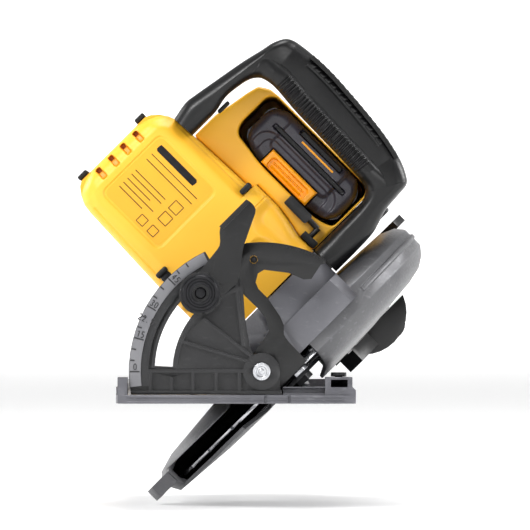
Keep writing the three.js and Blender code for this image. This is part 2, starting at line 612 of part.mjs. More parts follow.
function batteryButton() {
  const { front } = PACK;
  const cap = box(-88, -51, front - 1.5, front + 3, PACK.bottom + 0.2, 98);
  const grip = box(-85, -55, front - 2.5, front, 87.5, 93);
  const ridges = [88.8, 91.6].map((z) => box(-83, -57, front - 1.3, front + 0.5, z - 0.6, z + 0.6));
  return join(cut(cap, grip), ...ridges);
}

function hookMount() {
  const block = box(-40, -29, 84, BAY.front - GAP, HOUSING.top + GAP, 77);
  return cut(block, rodZ(-35.5, 88.5, 1.75 + GAP, 70, 80, 12));
}

// Wire hook for a rafter, folded flat across the front of the bay.
function rafterHook() {
  const rod = rodZ(-35.5, 88.5, 1.75, HOUSING.top + 0.6, 83.5, 12);
  const arm = rodX(88.5, 83, 1.75, -46, -35.5, 12);
  const pad = alongY(outline([[-61, 80], [-60, 79.5], [-44, 79.5], [-43, 80.5], [-43, 85.4],
    [-44, 86.2], [-60, 86.2], [-61, 85.6]]), 85.5, 91.5);
  return join(rod, arm, pad);
}

piece(saw, 'battery_bay', batteryBay(), YELLOW);
piece(saw, 'battery_terminal', box(-88, -52, 206, BAY.rear - 4 - GAP, 110.5, 117.5), BLACK);
piece(saw, 'controller', box(-116, -86, 106, 216, HOUSING.top + 5, 82), PACK_GREY);
piece(saw, 'battery_pack', batteryPack(), PACK_GREY);
piece(saw, 'battery_button', batteryButton(), BUTTON_YELLOW);
piece(saw, 'hook_mount', hookMount(), BLACK);
piece(saw, 'rafter_hook', rafterHook(), BLACK);

// ------------------------------------------------------------------ handles and controls

// Front handle: a loop that stands on the end cap at one side and on the gear case at the other.
function auxHandle() {
  const outer = alongY(outline([
    [-142, 70.3], [-144, 80], [-143, 88.5], [-142, 92], [-139, 113], [-136, 127], [-134, 134],
    [-131, 146], [-129, 150.5], [-110, 154], [-95, 154.5], [-60, 152], [-45, 150], [-30, 146.5],
    [-22, 143], [-17, 139.5], [-16, 130], [-15.3, 120], [-13, 112], [-10.5, 106], [-10, 72.3],
    [-28, 72.3], [-28, 110], [-29.5, 116], [-34, 120.6], [-50, 121.4], [-95, 122.6],
    [-113, 124.2], [-119, 124],
    [-126.5, 118], [-128, 113], [-130, 100], [-127.4, 88], [-127.4, 72.3],
  ]), 54, 90);
  const gripRoom = box(-110 - GAP, -45 + GAP, 57 - GAP, 87 + GAP, 146, 160)
    .subtract(box(-111, -44, 50, 95, 140, 150.2).subtract(alongY(
      outline([[-112, 160], [-112, 151], [-95, 151.2], [-60, 148.8], [-44, 147], [-44, 160]]), 50, 95)));
  return cut(outer, gripRoom);
}

const auxGrip = () => alongY(outline([[-110, 151.3], [-95, 151.5], [-60, 149.1], [-45, 147.4],
  [-45, 150], [-60, 152], [-95, 154.5], [-110, 154]]), 57, 87);

const slope = radians(GRIP_TILT);

// A point on the rear grip: u down along the grip, v out towards the palm.
const onGrip = (u, v) => [
  GRIP_TOP.y + u * Math.cos(slope) + v * Math.sin(slope),
  GRIP_TOP.z - u * Math.sin(slope) + v * Math.cos(slope),
];

const triggerOutline = outline([onGrip(-5, 5), onGrip(-5, -3), onGrip(8, -9.5), onGrip(34, -11),
  onGrip(42, -6), onGrip(42, 5)]);

// Room in the grip for the trigger at rest and pulled.
const triggerRoom = outline([onGrip(-7, 7), onGrip(-7, -5), onGrip(8, -12), onGrip(34, -14),
  onGrip(46, -10), onGrip(45, 13.5), onGrip(20, 10.5)]);

function handleShell(x0, x1, front) {
  const loop = cut(
    alongX(outline([
      [front, 30], [318, 30], [336, 34], [343, 46], [338, 60], [270, 121], [258, 124],
      [BAY.rear + GAP, 124], [BAY.rear + GAP, 66], [front, 66],
    ], 5), x0, x1),
    alongX(outline([[206, 50], [306, 50], [309, 55], [257, 101], [241, 101], [239, 66],
      [206, 62]], 5), x0 - 1, x1 + 1),
  );
  return cut(loop, alongX(triggerRoom, -36, -20));
}

function rearHandleLeft() {
  const shell = join(handleShell(-44, -28.15, 184), box(-44, -28.15, 150.3, 186, 34, 64));
  return cut(shell, rodX(...onGrip(2, 12), 4.3, -50, -32, 20));
}

const rearHandleRight = () => handleShell(-27.85, -12, 184);

const trigger = () => cut(
  alongX(triggerOutline, -34.5, -21.5), rodX(GRIP_TOP.y, GRIP_TOP.z, 2, -40, -15, 12),
);

const lockOff = () => rodX(...onGrip(2, 12), 4, -48, -36, 20);

piece(saw, 'aux_handle', auxHandle(), BLACK);
piece(saw, 'aux_grip', auxGrip(), RUBBER);
piece(saw, 'rear_handle_left', rearHandleLeft(), BLACK);
piece(saw, 'rear_handle_right', rearHandleRight(), BLACK);
piece(saw, 'trigger', trigger(), RUBBER);
piece(saw, 'lock_off_button', lockOff(), RUBBER);

export default root;
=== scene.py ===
"""A cordless rear-handle circular saw, tilted to a 45 degree bevel: moulded housings, cast shoe
and guards, blade, battery and handles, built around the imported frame."""

from math import cos, pi, radians, sin, sqrt

import bmesh
import bpy
import numpy as np
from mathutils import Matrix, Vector


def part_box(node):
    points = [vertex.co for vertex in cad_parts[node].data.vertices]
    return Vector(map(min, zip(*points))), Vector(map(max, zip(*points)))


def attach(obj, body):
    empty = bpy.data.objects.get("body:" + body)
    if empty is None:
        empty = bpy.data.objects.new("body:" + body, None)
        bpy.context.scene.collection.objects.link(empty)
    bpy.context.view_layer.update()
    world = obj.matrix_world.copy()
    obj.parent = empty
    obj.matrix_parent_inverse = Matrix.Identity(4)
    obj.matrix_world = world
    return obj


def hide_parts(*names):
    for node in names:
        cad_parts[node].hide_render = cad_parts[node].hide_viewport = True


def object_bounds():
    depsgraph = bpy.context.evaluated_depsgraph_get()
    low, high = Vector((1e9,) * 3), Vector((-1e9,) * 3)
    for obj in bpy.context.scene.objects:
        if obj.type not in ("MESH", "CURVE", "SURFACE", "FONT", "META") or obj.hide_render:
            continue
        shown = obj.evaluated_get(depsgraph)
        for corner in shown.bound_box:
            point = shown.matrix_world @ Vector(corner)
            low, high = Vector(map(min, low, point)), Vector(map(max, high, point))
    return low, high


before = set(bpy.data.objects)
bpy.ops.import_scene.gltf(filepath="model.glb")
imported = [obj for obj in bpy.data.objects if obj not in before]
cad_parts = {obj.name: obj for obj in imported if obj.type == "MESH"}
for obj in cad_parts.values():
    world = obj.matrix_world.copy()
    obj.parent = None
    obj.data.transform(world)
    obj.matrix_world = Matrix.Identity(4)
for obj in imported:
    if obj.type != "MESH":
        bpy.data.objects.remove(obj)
CAD_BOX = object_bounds()

bl_info = {
    "name": "Circular Saw",
    "version": (1, 0, 0),
    "blender": (4, 5, 0),
    "location": "View3D > Sidebar > Saw",
    "description": "Builds a cordless circular saw around its frame, with its stage",
    "category": "Add Mesh",
}

MM = 0.001
HALF = sqrt(0.5)  # sine and cosine of the 45 degree bevel

# Measures in mm. The origin is the bevel axis, at the shoe's front end; y runs to the rear.
PIVOT_HEIGHT = 18.6  # of the bevel axis above the sole
MERGE = 0.002  # points nearer than this are one
BLADE_CENTRE = (125, 12)  # y, z
MOTOR_JOINT = -80.5  # x of the joint between end cap and housing
MOTOR_FRONT, MOTOR_REAR = 70.0, 150.0
BAY_FRONT, BAY_REAR = 94.0, 230.0
PACK_FRONT, PACK_REAR = 95.5, 222.0
GRIP_LEFT, GRIP_RIGHT = -111.5, -44.0  # ends of the ribs on the front handle
BRACKET_FACE = 3.55  # foot of the raised marks on the bevel bracket
STUD = (58, 172.8)  # radius and angle of the bevel stud about the bevel axis
SCALE_OUTER = 77  # radius of the ticks' outer ends
MARK_HEIGHT = 0.35  # of the raised marks on the scale and bracket

CAMERA_ACROSS, CAMERA_UP = 0.009, 0.003  # from the middle of the saw to the camera, m
WALL_GLOW = 0.6  # strength of the light behind the backdrop
SKY = 0.45  # strength of the world's light


# ------------------------------------------------------------------ placing


def upright(points):
    """Points of the shoe's own frame, in mm from the bevel axis, lifted to the frame's height."""
    p = np.asarray(points, float)
    return p + (0, 0, PIVOT_HEIGHT)


def tilted(points):
    """Points of the upright saw, in mm, turned 45 degrees about the bevel axis: each point's
    across and up are mixed in equal parts, and the axis' height is added."""
    p = np.asarray(points, float)
    x, y, z = p[..., 0], p[..., 1], p[..., 2]
    return np.stack([(x + z) * HALF, y, (z - x) * HALF + PIVOT_HEIGHT], axis=-1)


# ------------------------------------------------------------------ meshes


def placed(name, data):
    """A new object of that mesh, light or camera, in the scene."""
    piece = bpy.data.objects.new(name, data)
    bpy.context.scene.collection.objects.link(piece)
    return piece


def cleaned(mesh, operate):
    """The mesh with its doubles merged, an operation done to it, and its faces smooth."""
    bm = bmesh.new()
    bm.from_mesh(mesh)
    bmesh.ops.remove_doubles(bm, verts=bm.verts, dist=MERGE * MM)
    operate(bm)
    bm.to_mesh(mesh)
    bm.free()
    mesh.polygons.foreach_set("use_smooth", [True] * len(mesh.polygons))
    return mesh


def make_mesh(name, points, faces, place=tilted, smooth_under=38):
    """A mesh object from points in mm and faces as index lists, turned outwards. Edges that turn
    by more than smooth_under degrees stay crisp."""
    mesh = bpy.data.meshes.new(name)
    mesh.from_pydata((place(points) * MM).tolist(), [], faces)
    cleaned(mesh, lambda bm: bmesh.ops.recalc_face_normals(bm, faces=bm.faces))
    mesh.set_sharp_from_angle(angle=radians(smooth_under))
    return placed(name, mesh)


def settle(piece, body, slot, finish, *nodes):
    """The piece rides on its body, takes its finish, and stands for the nodes. The slot is not
    used.
    """
    piece.data.materials.clear()
    piece.data.materials.append(finish)
    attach(piece, body)
    if nodes:
        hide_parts(*nodes)
    return piece


def grid_faces(rows, columns, wrap_rows=False, wrap_columns=True):
    """Quads between neighbouring points of a rows by columns grid, closed on itself each way
    that wraps."""
    r = np.arange(rows if wrap_rows else rows - 1)[:, None]
    c = np.arange(columns if wrap_columns else columns - 1)[None, :]
    r2, c2 = (r + 1) % rows, (c + 1) % columns
    quads = np.stack([r * columns + c, r * columns + c2, r2 * columns + c2, r2 * columns + c], -1)
    return quads.reshape(-1, 4).tolist()


def tube_faces(rows, columns):
    """Quads of a tube of `rows` rings, with one face across each end."""
    ring = list(range(columns))
    return grid_faces(rows, columns) + [ring[::-1], [(rows - 1) * columns + i for i in ring]]


def run_lengths(points):
    """How far along a polyline each of its points lies."""
    return np.concatenate([[0], np.cumsum(np.linalg.norm(np.diff(points, axis=0), axis=1))])


def unit(vectors):
    """Vectors in rows, each brought to length 1."""
    return vectors / np.maximum(np.linalg.norm(vectors, axis=1, keepdims=True), 1e-9)


def sideways(path):
    """Unit normals of an open line of points, to the left of its run."""
    ahead = np.gradient(path, axis=0)
    return unit(np.stack([-ahead[:, 1], ahead[:, 0]], -1))


def round_off(distance, radius):
    """How far a face has fallen back at that distance from its rim: 0 from the radius inwards,
    and along a quarter circle to the radius at the rim."""
    return radius * (1 - np.sqrt(1 - np.clip(1 - distance / radius, 0, 1) ** 2))


def resample(outline, count, corner=0.0, closed=True):
    """count points evenly spaced along a polyline, after each corner is cut to a quadratic curve
    that starts and ends `corner` from it, or at most 45% of the way to the next corner."""
    p = np.asarray(outline, float)
    if corner > 0:
        before, after = np.roll(p, 1, 0) - p, np.roll(p, -1, 0) - p
        lengths = [np.linalg.norm(v, axis=1, keepdims=True) for v in (before, after)]
        start, end = (
            p + v / n * np.minimum(corner, n * 0.45) for v, n in zip((before, after), lengths)
        )
        t = np.linspace(0, 1, 7)[None, :, None]
        curved = (1 - t) ** 2 * start[:, None] + 2 * t * (1 - t) * p[:, None] + t**2 * end[:, None]
        if not closed:
            curved[0], curved[-1] = p[0], p[-1]
        p = curved.reshape(-1, 2)
    loop = np.vstack([p, p[:1]]) if closed else p
    along = run_lengths(loop)
    at = np.linspace(0, along[-1], count, endpoint=not closed)
    return np.stack([np.interp(at, along, loop[:, i]) for i in (0, 1)], -1)


def outward(loop):
    """Unit normals of a closed loop of points, pointing away from its inside."""
    ahead = np.roll(loop, -1, 0) - np.roll(loop, 1, 0)
    normal = unit(np.stack([ahead[:, 1], -ahead[:, 0]], -1))
    area = np.sum(loop[:, 0] * np.roll(loop[:, 1], -1) - loop[:, 1] * np.roll(loop[:, 0], -1))
    return normal if area > 0 else -normal


def slab(loop, y0, y1, edge, steps, axis="y"):
    """A flat plate with rounded rims: the loop is carried from y0 to y1, and near each end it
    draws in along its normals by a quarter circle of radius edge. Returns points and faces; the
    ends are closed by one face each. axis names the direction it is carried in: y, or x."""
    turn = np.linspace(0, pi / 2, steps + 1)
    depth = np.concatenate([y0 + edge * (1 - np.sin(turn)), y1 - edge * (1 - np.sin(turn[::-1]))])
    inset = edge * (1 - np.cos(np.concatenate([turn, turn[::-1]])))
    order = np.argsort(depth, kind="stable")
    depth, inset = depth[order], inset[order]
    rings = loop[None] - outward(loop)[None] * inset[:, None, None]
    rows, columns = rings.shape[:2]
    across = np.broadcast_to(depth[:, None], (rows, columns))
    a, b = rings[..., 0], rings[..., 1]
    stacked = {"y": (a, across, b), "x": (across, a, b)}[axis]
    return np.stack(stacked, -1).reshape(-1, 3), tube_faces(rows, columns)


def plate(x0, x1, z0, z1, y0, y1, edge, corner=0.0, count=40, steps=1):
    """A slab over a rectangle whose corners are eased by `corner`."""
    return slab(resample([(x0, z0), (x1, z0), (x1, z1), (x0, z1)], count, corner), y0, y1, edge,
                steps)


def rod(centre, radius, y0, y1, edge, sides):
    """A round bar from front to rear with its two rims rounded by edge."""
    angle = np.linspace(0, 2 * pi, sides, endpoint=False)
    loop = np.stack([centre[0] + radius * np.cos(angle), centre[1] + radius * np.sin(angle)], -1)
    return slab(loop, y0, y1, edge, steps=2)


def gathered(parts):
    """Several (points, faces) as one."""
    points, faces, base = [], [], 0
    for p, f in parts:
        points.append(p)
        faces += [[i + base for i in face] for face in f]
        base += len(p)
    return np.vstack(points), faces


def softened(node, edge, segments=2):
    """A copy of a node's solid as a new piece: its doubles are merged, neighbours that turn by
    less than 1.2 degrees are joined, and each edge that turns by over 32 degrees is rounded by
    edge mm."""
    mesh = cleaned(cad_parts[node].data.copy(), lambda bm: bmesh.ops.dissolve_limit(
        bm, angle_limit=radians(1.2), verts=bm.verts, edges=bm.edges, delimit={"NORMAL"}))
    mesh.name = f"{node}_finished"
    piece = placed(mesh.name, mesh)
    rim = piece.modifiers.new("rim", "BEVEL")
    rim.width = edge * MM
    rim.segments = segments
    rim.limit_method = "ANGLE"
    rim.angle_limit = radians(32)
    rim.miter_outer = "MITER_ARC"
    rim.harden_normals = True
    return piece


def eased(share):
    """A smooth step: 0 to 1, level at both ends."""
    s = np.clip(share, 0, 1)
    return s * s * (3 - 2 * s)


def within(x, z, x0, x1, z0, z1, corner, soft):
    """1 inside a rounded rectangle and 0 outside, with a smooth wall `soft` wide: the distance
    to the rectangle, less its corner radius, through a smooth step."""
    a = np.abs(x - (x0 + x1) / 2) - (x1 - x0) / 2 + corner
    b = np.abs(z - (z0 + z1) / 2) - (z1 - z0) / 2 + corner
    far = np.hypot(np.maximum(a, 0), np.maximum(b, 0)) + np.minimum(np.maximum(a, b), 0) - corner
    return eased(0.5 - far / soft)


def band(a, low, high, corner, soft):
    """1 where a lies between low and high, with the same wall as `within`."""
    return within(a, 0, low, high, -5, 5, corner, soft)


def line_dip(x, z, start, end, width):
    """1 on the line between two points, falling to 0 at half the width to either side."""
    start, end = np.asarray(start, float), np.asarray(end, float)
    way = end - start
    along = np.clip(((x - start[0]) * way[0] + (z - start[1]) * way[1]) / (way @ way), 0, 1)
    far = np.hypot(x - start[0] - along * way[0], z - start[1] - along * way[1])
    return eased(1 - far / (width / 2))


def rim_fall(x, z, low, high, left=None, right=None, radius=6.0, side_radius=None):
    """How far a front falls back near its rims: a quarter circle of that radius off the top and
    bottom curves, and off the left and right where they are given, joined round at corners."""
    side = side_radius or radius
    up = np.maximum(1 - (high - z) / radius, 1 - (z - low) / radius)
    across = np.full_like(x, -1.0)
    if left is not None:
        across = np.maximum(across, 1 - (x - left) / side)
    if right is not None:
        across = np.maximum(across, 1 - (right - x) / side)
    q = np.minimum(np.hypot(np.clip(up, 0, 1), np.clip(across, 0, 1)), 1)
    return radius * (1 - np.sqrt(1 - q * q))


def relief_block(x0, x1, bottom, top, front, rear, depth, step, rear_edge=3.0):
    """A block whose front is a height map: on a grid between the bottom and top curves, each
    point lies `depth` behind the front plane. The rim of that grid is carried back as a wall,
    scaled in towards its middle by a quarter circle at the rear, and closed by one face."""
    columns = int((x1 - x0) / step) + 1
    bottom, top = np.asarray(bottom, float), np.asarray(top, float)
    xs = np.linspace(x0, x1, columns)
    low = np.interp(xs, bottom[:, 0], bottom[:, 1])
    high = np.interp(xs, top[:, 0], top[:, 1])
    rows = int((high - low).max() / step) + 1
    z = low + np.linspace(0, 1, rows)[:, None] * (high - low)
    x = np.broadcast_to(xs, z.shape)
    y = front + depth(x, z, low, high)
    points = np.stack([x, y, z], -1).reshape(-1, 3)
    faces = grid_faces(rows, columns, wrap_columns=False)
    index = np.arange(rows * columns).reshape(rows, columns)
    rim = np.concatenate([index[0, :-1], index[:-1, -1], index[-1, :0:-1], index[:0:-1, 0]])
    loop = points[rim][:, [0, 2]]
    middle = (loop.min(axis=0) + loop.max(axis=0)) / 2
    share = rear_edge / (loop.max(axis=0) - middle)
    steps, count = 5, len(rim)
    rings = []
    for t in np.linspace(0, pi / 2, steps):
        ring = loop + (middle - loop) * share * (1 - cos(t))
        depth_here = np.full(count, rear - rear_edge * (1 - sin(t)))
        rings.append(np.stack([ring[:, 0], depth_here, ring[:, 1]], -1))
    behind = len(points) + np.arange(steps * count)
    walls = np.concatenate([rim, behind]).reshape(steps + 1, count)
    ahead = np.roll(walls, -1, 1)
    quads = np.stack([walls[:-1], walls[1:], ahead[1:], ahead[:-1]], -1)
    faces += quads.reshape(-1, 4).tolist()
    faces.append(walls[-1].tolist())
    return np.vstack([points, *rings]), faces


def smooth_path(corners, t):
    """Points on a smooth curve through the corners, a cubic through each four neighbours
    (Catmull-Rom), at the places t: a whole number is a corner, a fraction lies between two."""
    p = np.asarray(corners, float)
    p = np.vstack([2 * p[0] - p[1], p, 2 * p[-1] - p[-2]])
    i = np.minimum(t.astype(int), len(corners) - 2)
    f = (t - i)[:, None]
    a, b, c, d = p[i], p[i + 1], p[i + 2], p[i + 3]
    return 0.5 * (2 * b + (c - a) * f + (2 * a - 5 * b + 4 * c - d) * f**2
                  + (3 * b - a - 3 * c + d) * f**3)


def turned_about_y(profile, centre, count):
    """A profile of (radius, y) points turned a whole turn about a front-to-rear line through
    centre (x, z), closed on itself."""
    p = np.asarray(profile, float)
    angle = np.linspace(0, 2 * pi, count, endpoint=False)[:, None]
    x = centre[0] + p[:, 0] * np.cos(angle)
    z = centre[1] + p[:, 0] * np.sin(angle)
    points = np.stack([x, np.broadcast_to(p[:, 1], x.shape), z], -1).reshape(-1, 3)
    return points, grid_faces(count, len(p), wrap_rows=True)


# ------------------------------------------------------------------ finishes


def linear(colour):
    """An sRGB hex value as linear red, green, blue."""
    values = np.array([int(colour[i : i + 2], 16) for i in (1, 3, 5)]) / 255
    return tuple(np.where(values <= 0.04045, values / 12.92, ((values + 0.055) / 1.055) ** 2.4))


def add(tree, kind, inputs=None, **settings):
    """A node with its settings, and its inputs set to a value or linked to a socket."""
    node = tree.nodes.new("ShaderNode" + kind)
    for key, value in settings.items():
        setattr(node, key, value)
    for key, value in (inputs or {}).items():
        if isinstance(value, bpy.types.NodeSocket):
            tree.links.new(value, node.inputs[key])
        else:
            node.inputs[key].default_value = value
    return node


def new_finish(name):
    """A fresh material with its shader, and object coordinates to draw patterns on."""
    material = bpy.data.materials.new(name)
    material.use_nodes = True
    tree = material.node_tree
    shader = tree.nodes["Principled BSDF"]
    place = add(tree, "TexCoord").outputs["Object"]
    return material, tree, shader, place


def noise(tree, place, grain_mm, detail=3.0, stretch=(1, 1, 1)):
    """Noise whose cells are grain_mm across, drawn out along the axes by stretch."""
    scaled = add(tree, "Mapping", {"Vector": place, "Scale": tuple(1 / s for s in stretch)})
    return add(
        tree, "TexNoise",
        {"Vector": scaled.outputs[0], "Scale": 1 / (grain_mm * MM), "Detail": detail},
    ).outputs["Fac"]


def spread(tree, value, low, high, between=(0.3, 0.7)):
    """A value carried from the `between` range to low..high."""
    return add(
        tree, "MapRange",
        {"Value": value, "From Min": between[0], "From Max": between[1],
         "To Min": low, "To Max": high},
    ).outputs[0]


def blended(tree, factor, first, second):
    """A colour between two, by factor."""
    mix = add(tree, "Mix", {"Factor": factor}, data_type="RGBA")
    for socket, colour in ((6, first), (7, second)):
        if isinstance(colour, bpy.types.NodeSocket):
            tree.links.new(colour, mix.inputs[socket])
        else:
            mix.inputs[socket].default_value = (*colour, 1)
    return mix.outputs[2]


def moulded(name, colour, other, grain_mm, rough, relief_mm, metallic=0.0, patch_mm=40,
            stretch=(1, 1, 1), worn=None, coat=0.0, specular=0.5):
    """A finish with cloudy patches of a second colour, a grained relief, and roughness that
    varies with the grain. worn is the colour of sparse scuffs, a few mm long."""
    material, tree, shader, place = new_finish(name)
    cloud = noise(tree, place, patch_mm, 4)
    grain = noise(tree, place, grain_mm, 2, stretch)
    paint = blended(tree, spread(tree, cloud, 0, 1), colour, other)
    if worn is not None:
        scuffs = noise(tree, place, 2.6, 4, (2.5, 1, 1))
        paint = blended(tree, spread(tree, scuffs, 0, 0.22, (0.6, 0.78)), paint, worn)
    tree.links.new(paint, shader.inputs["Base Color"])
    tree.links.new(spread(tree, grain, *rough), shader.inputs["Roughness"])
    bump = add(tree, "Bump", {"Height": grain, "Distance": relief_mm * MM, "Strength": 0.8})
    tree.links.new(bump.outputs[0], shader.inputs["Normal"])
    shader.inputs["Metallic"].default_value = metallic
    shader.inputs["Coat Weight"].default_value = coat
    if metallic < 1:
        shader.inputs["Specular IOR Level"].default_value = specular
    return material


def make_finishes(colours):
    """Every finish of the saw, by a short name."""
    return {
        # Glass-filled nylon, injection moulded: an even satin grain. The real grain is 0.2 mm,
        # drawn at 1 mm so that it shows.
        "yellow": moulded(
            "nylon_moulded_yellow", colours.housing, colours.housing_shade, 1.0, (0.36, 0.48),
            0.04, patch_mm=55),
        # The same nylon in black, slightly duller, with a coarser grain.
        "black": moulded(
            "nylon_moulded_black", colours.black, linear("#0E0E0F"), 1.1, (0.28, 0.40), 0.03,
            patch_mm=35, specular=0.35),
        # Charcoal nylon of the battery case, polished a little by handling.
        "pack": moulded(
            "nylon_moulded_grey", colours.battery, linear("#302E36"), 0.9, (0.26, 0.38), 0.025,
            patch_mm=30),
        # Acetal push button, glossier than the housing.
        "button": moulded(
            "acetal_moulded_amber", colours.button, linear("#EE9A06"), 1.6, (0.26, 0.36), 0.02,
            patch_mm=25),
        # Thermoplastic rubber moulded over the grips: matt, with a soft bloom.
        "rubber": moulded(
            "rubber_moulded_black", linear("#080808"), linear("#0F0F0F"), 1.3, (0.5, 0.68), 0.09,
            patch_mm=22, specular=0.35),
        # Pressed steel with a black powder coat: a faint orange peel 1.5 mm across.
        "coated": moulded(
            "steel_powder_coated_black", linear("#0A0A0B"), linear("#111112"), 1.5, (0.28, 0.4),
            0.03, patch_mm=28, worn=linear("#303033"), specular=0.4),
        # Die-cast magnesium with a charcoal coat, sand grained, with sparse pale scuffs.
        "charcoal": moulded(
            "magnesium_coated_charcoal", colours.casting, linear("#161618"), 1.2, (0.32, 0.45),
            0.04, patch_mm=26, worn=linear("#4C4C4F"), specular=0.45),
        # Anodised aluminium of the bevel scale: pale, finely grained.
        "scale": moulded(
            "aluminium_anodised_scale", linear("#77777A"), linear("#6B6B6F"), 0.9, (0.38, 0.5),
            0.02, patch_mm=20, metallic=0.25),
        # Die-cast magnesium of the gear case, coated pale grey.
        "case": moulded(
            "magnesium_coated_grey", linear("#5F5F64"), linear("#525257"), 1.2, (0.36, 0.48),
            0.04, patch_mm=30, metallic=0.2, worn=linear("#97979B")),
        # Die-cast aluminium guards, shot blasted: a dull metal with soft clouding.
        "guard": moulded(
            "aluminium_cast_blasted", linear("#606062"), linear("#505053"), 1.4, (0.36, 0.5),
            0.05, patch_mm=24, metallic=0.55, worn=linear("#A2A2A6")),
        # Aluminium sole plate, coated grey and ground on its working face.
        "sole": moulded(
            "aluminium_coated_sole", linear("#626267"), linear("#55555A"), 1.4, (0.34, 0.46),
            0.04, patch_mm=30, metallic=0.4, worn=linear("#A8A8AC")),
        # Turned and ground steel, with fine marks drawn out along the shaft.
        "steel": moulded(
            "steel_ground", linear("#B9BABD"), linear("#A3A4A8"), 1.0, (0.22, 0.36), 0.015,
            metallic=1.0, patch_mm=18, stretch=(6, 1, 1)),
        # Zinc plate on the screws and bolts: bright, slightly milky.
        "zinc": moulded(
            "steel_zinc_plated", linear("#C9CACC"), linear("#A9ABB0"), 1.4, (0.25, 0.4), 0.03,
            metallic=1.0, patch_mm=8),
        # Black-oxide steel screws.
        "oxide": moulded(
            "steel_black_oxide", linear("#2B2B2D"), linear("#1F1F21"), 1.0, (0.3, 0.42), 0.02,
            metallic=0.8, patch_mm=8),
        # Enamelled copper wire, wound round the stator: a rib for each 1.2 mm of winding.
        "winding": moulded(
            "copper_enamelled", linear("#A5602F"), linear("#7C431D"), 1.2, (0.3, 0.45), 0.2,
            metallic=0.9, patch_mm=10, stretch=(1, 6, 6)),
        # Sintered carbide on the blade's tips: grey, nearly matt.
        "carbide": moulded(
            "carbide_sintered", linear("#5E6066"), linear("#4B4D52"), 0.8, (0.4, 0.55), 0.02,
            metallic=0.9, patch_mm=4),
        # Painted shade: the yellow housing's inside, seen through the vents, drawn in a darker
        # amber that stands for its shade.
        "inside": moulded(
            "nylon_yellow_painted_shade", linear("#A8560F"), linear("#7A3A08"), 1.0, (0.5, 0.65), 0.05,
            patch_mm=8),
        # Dark coat left in the raised marks of the scale.
        "ink": moulded(
            "coat_marks_dark", linear("#1C1C1E"), linear("#28282A"), 0.8, (0.4, 0.5), 0.01,
            patch_mm=6),
        # Matt printed film of the rating plate, with nothing on it but ruled lines.
        "plate": moulded(
            "film_printed_amber", linear("#F2AD20"), linear("#EDA61B"), 1.2, (0.34, 0.44), 0.01,
            patch_mm=30),
    }


FINISHES = {}


# ------------------------------------------------------------------ what a user may change


class SawColours(bpy.types.PropertyGroup):
    """Colours of the saw's main finishes."""

    housing: bpy.props.FloatVectorProperty(
        name="Housing", description="Yellow of the motor housing and battery bay",
        default=linear("#F6BB31"), subtype="COLOR", min=0, max=1)
    housing_shade: bpy.props.FloatVectorProperty(
        name="Housing shade", description="Second yellow that clouds the first",
        default=linear("#F1B228"), subtype="COLOR", min=0, max=1)
    black: bpy.props.FloatVectorProperty(
        name="Black plastic", description="Handles and covers",
        default=linear("#070708"), subtype="COLOR", min=0, max=1)
    battery: bpy.props.FloatVectorProperty(
        name="Battery", description="Case of the battery pack",
        default=linear("#3D3B44"), subtype="COLOR", min=0, max=1)
    button: bpy.props.FloatVectorProperty(
        name="Release button", description="Button of the battery pack",
        default=linear("#F8A60C"), subtype="COLOR", min=0, max=1)
    casting: bpy.props.FloatVectorProperty(
        name="Bevel casting", description="Casting that carries the bevel scale",
        default=linear("#1D1D1F"), subtype="COLOR", min=0, max=1)


class SawSizes(bpy.types.PropertyGroup):
    """Sizes of the details."""

    rim: bpy.props.FloatProperty(
        name="Rim radius", description="Rounding of the edges of castings and mouldings",
        default=0.7 * MM, unit="LENGTH", min=0.1 * MM, max=2 * MM)
    grip_ribs: bpy.props.IntProperty(
        name="Grip ribs", description="Ribs on the front handle", default=29, min=5, max=60)
    blade_teeth: bpy.props.IntProperty(
        name="Blade teeth", description="Carbide tips on the blade", default=24, min=8, max=60)
    camera_distance: bpy.props.FloatProperty(
        name="Camera distance", description="From the camera to the saw's front",
        default=4.0, unit="LENGTH", min=1, max=20)
    lens: bpy.props.FloatProperty(
        name="Lens", description="Focal length of the camera in mm", default=465, min=50, max=1000)


def colours():
    return bpy.context.scene.saw_colours


def sizes():
    return bpy.context.scene.saw_sizes


# ------------------------------------------------------------------ pieces


class Maker:
    """What every operator of the saw shares."""

    bl_options = {"REGISTER", "UNDO"}

    def execute(self, context):
        self.make()
        return {"FINISHED"}


def keep(node, body, slot, finish, rim=None, **how):
    """A softened copy of a node, in its finish, on its body."""
    rim = sizes().rim / MM if rim is None else rim
    return settle(softened(node, rim, **how), body, slot, FINISHES[finish], node)


def detail(name, shape, body, slot, finish, place=tilted, smooth_under=38):
    """A small piece of its own that stands for no node."""
    return settle(make_mesh(name, *shape, place=place, smooth_under=smooth_under),
                  body, slot, FINISHES[finish])


def stroke(path, width, height, base):
    """A raised line along a path: its width is split evenly to both sides, and it stands
    `height` towards the front of base. Its section's corners are foot, shoulder, shoulder and
    foot."""
    p = np.asarray(path, float)
    side = sideways(p)
    across = np.array([-0.5, -0.36, 0.36, 0.5]) * width
    lift = np.array([0, height, height, 0])
    flat = p[:, None] + side[:, None] * across[None, :, None]
    depth = np.broadcast_to(base - lift, flat.shape[:2])
    points = np.stack([flat[..., 0], depth, flat[..., 1]], -1).reshape(-1, 3)
    return points, tube_faces(len(p), len(across))


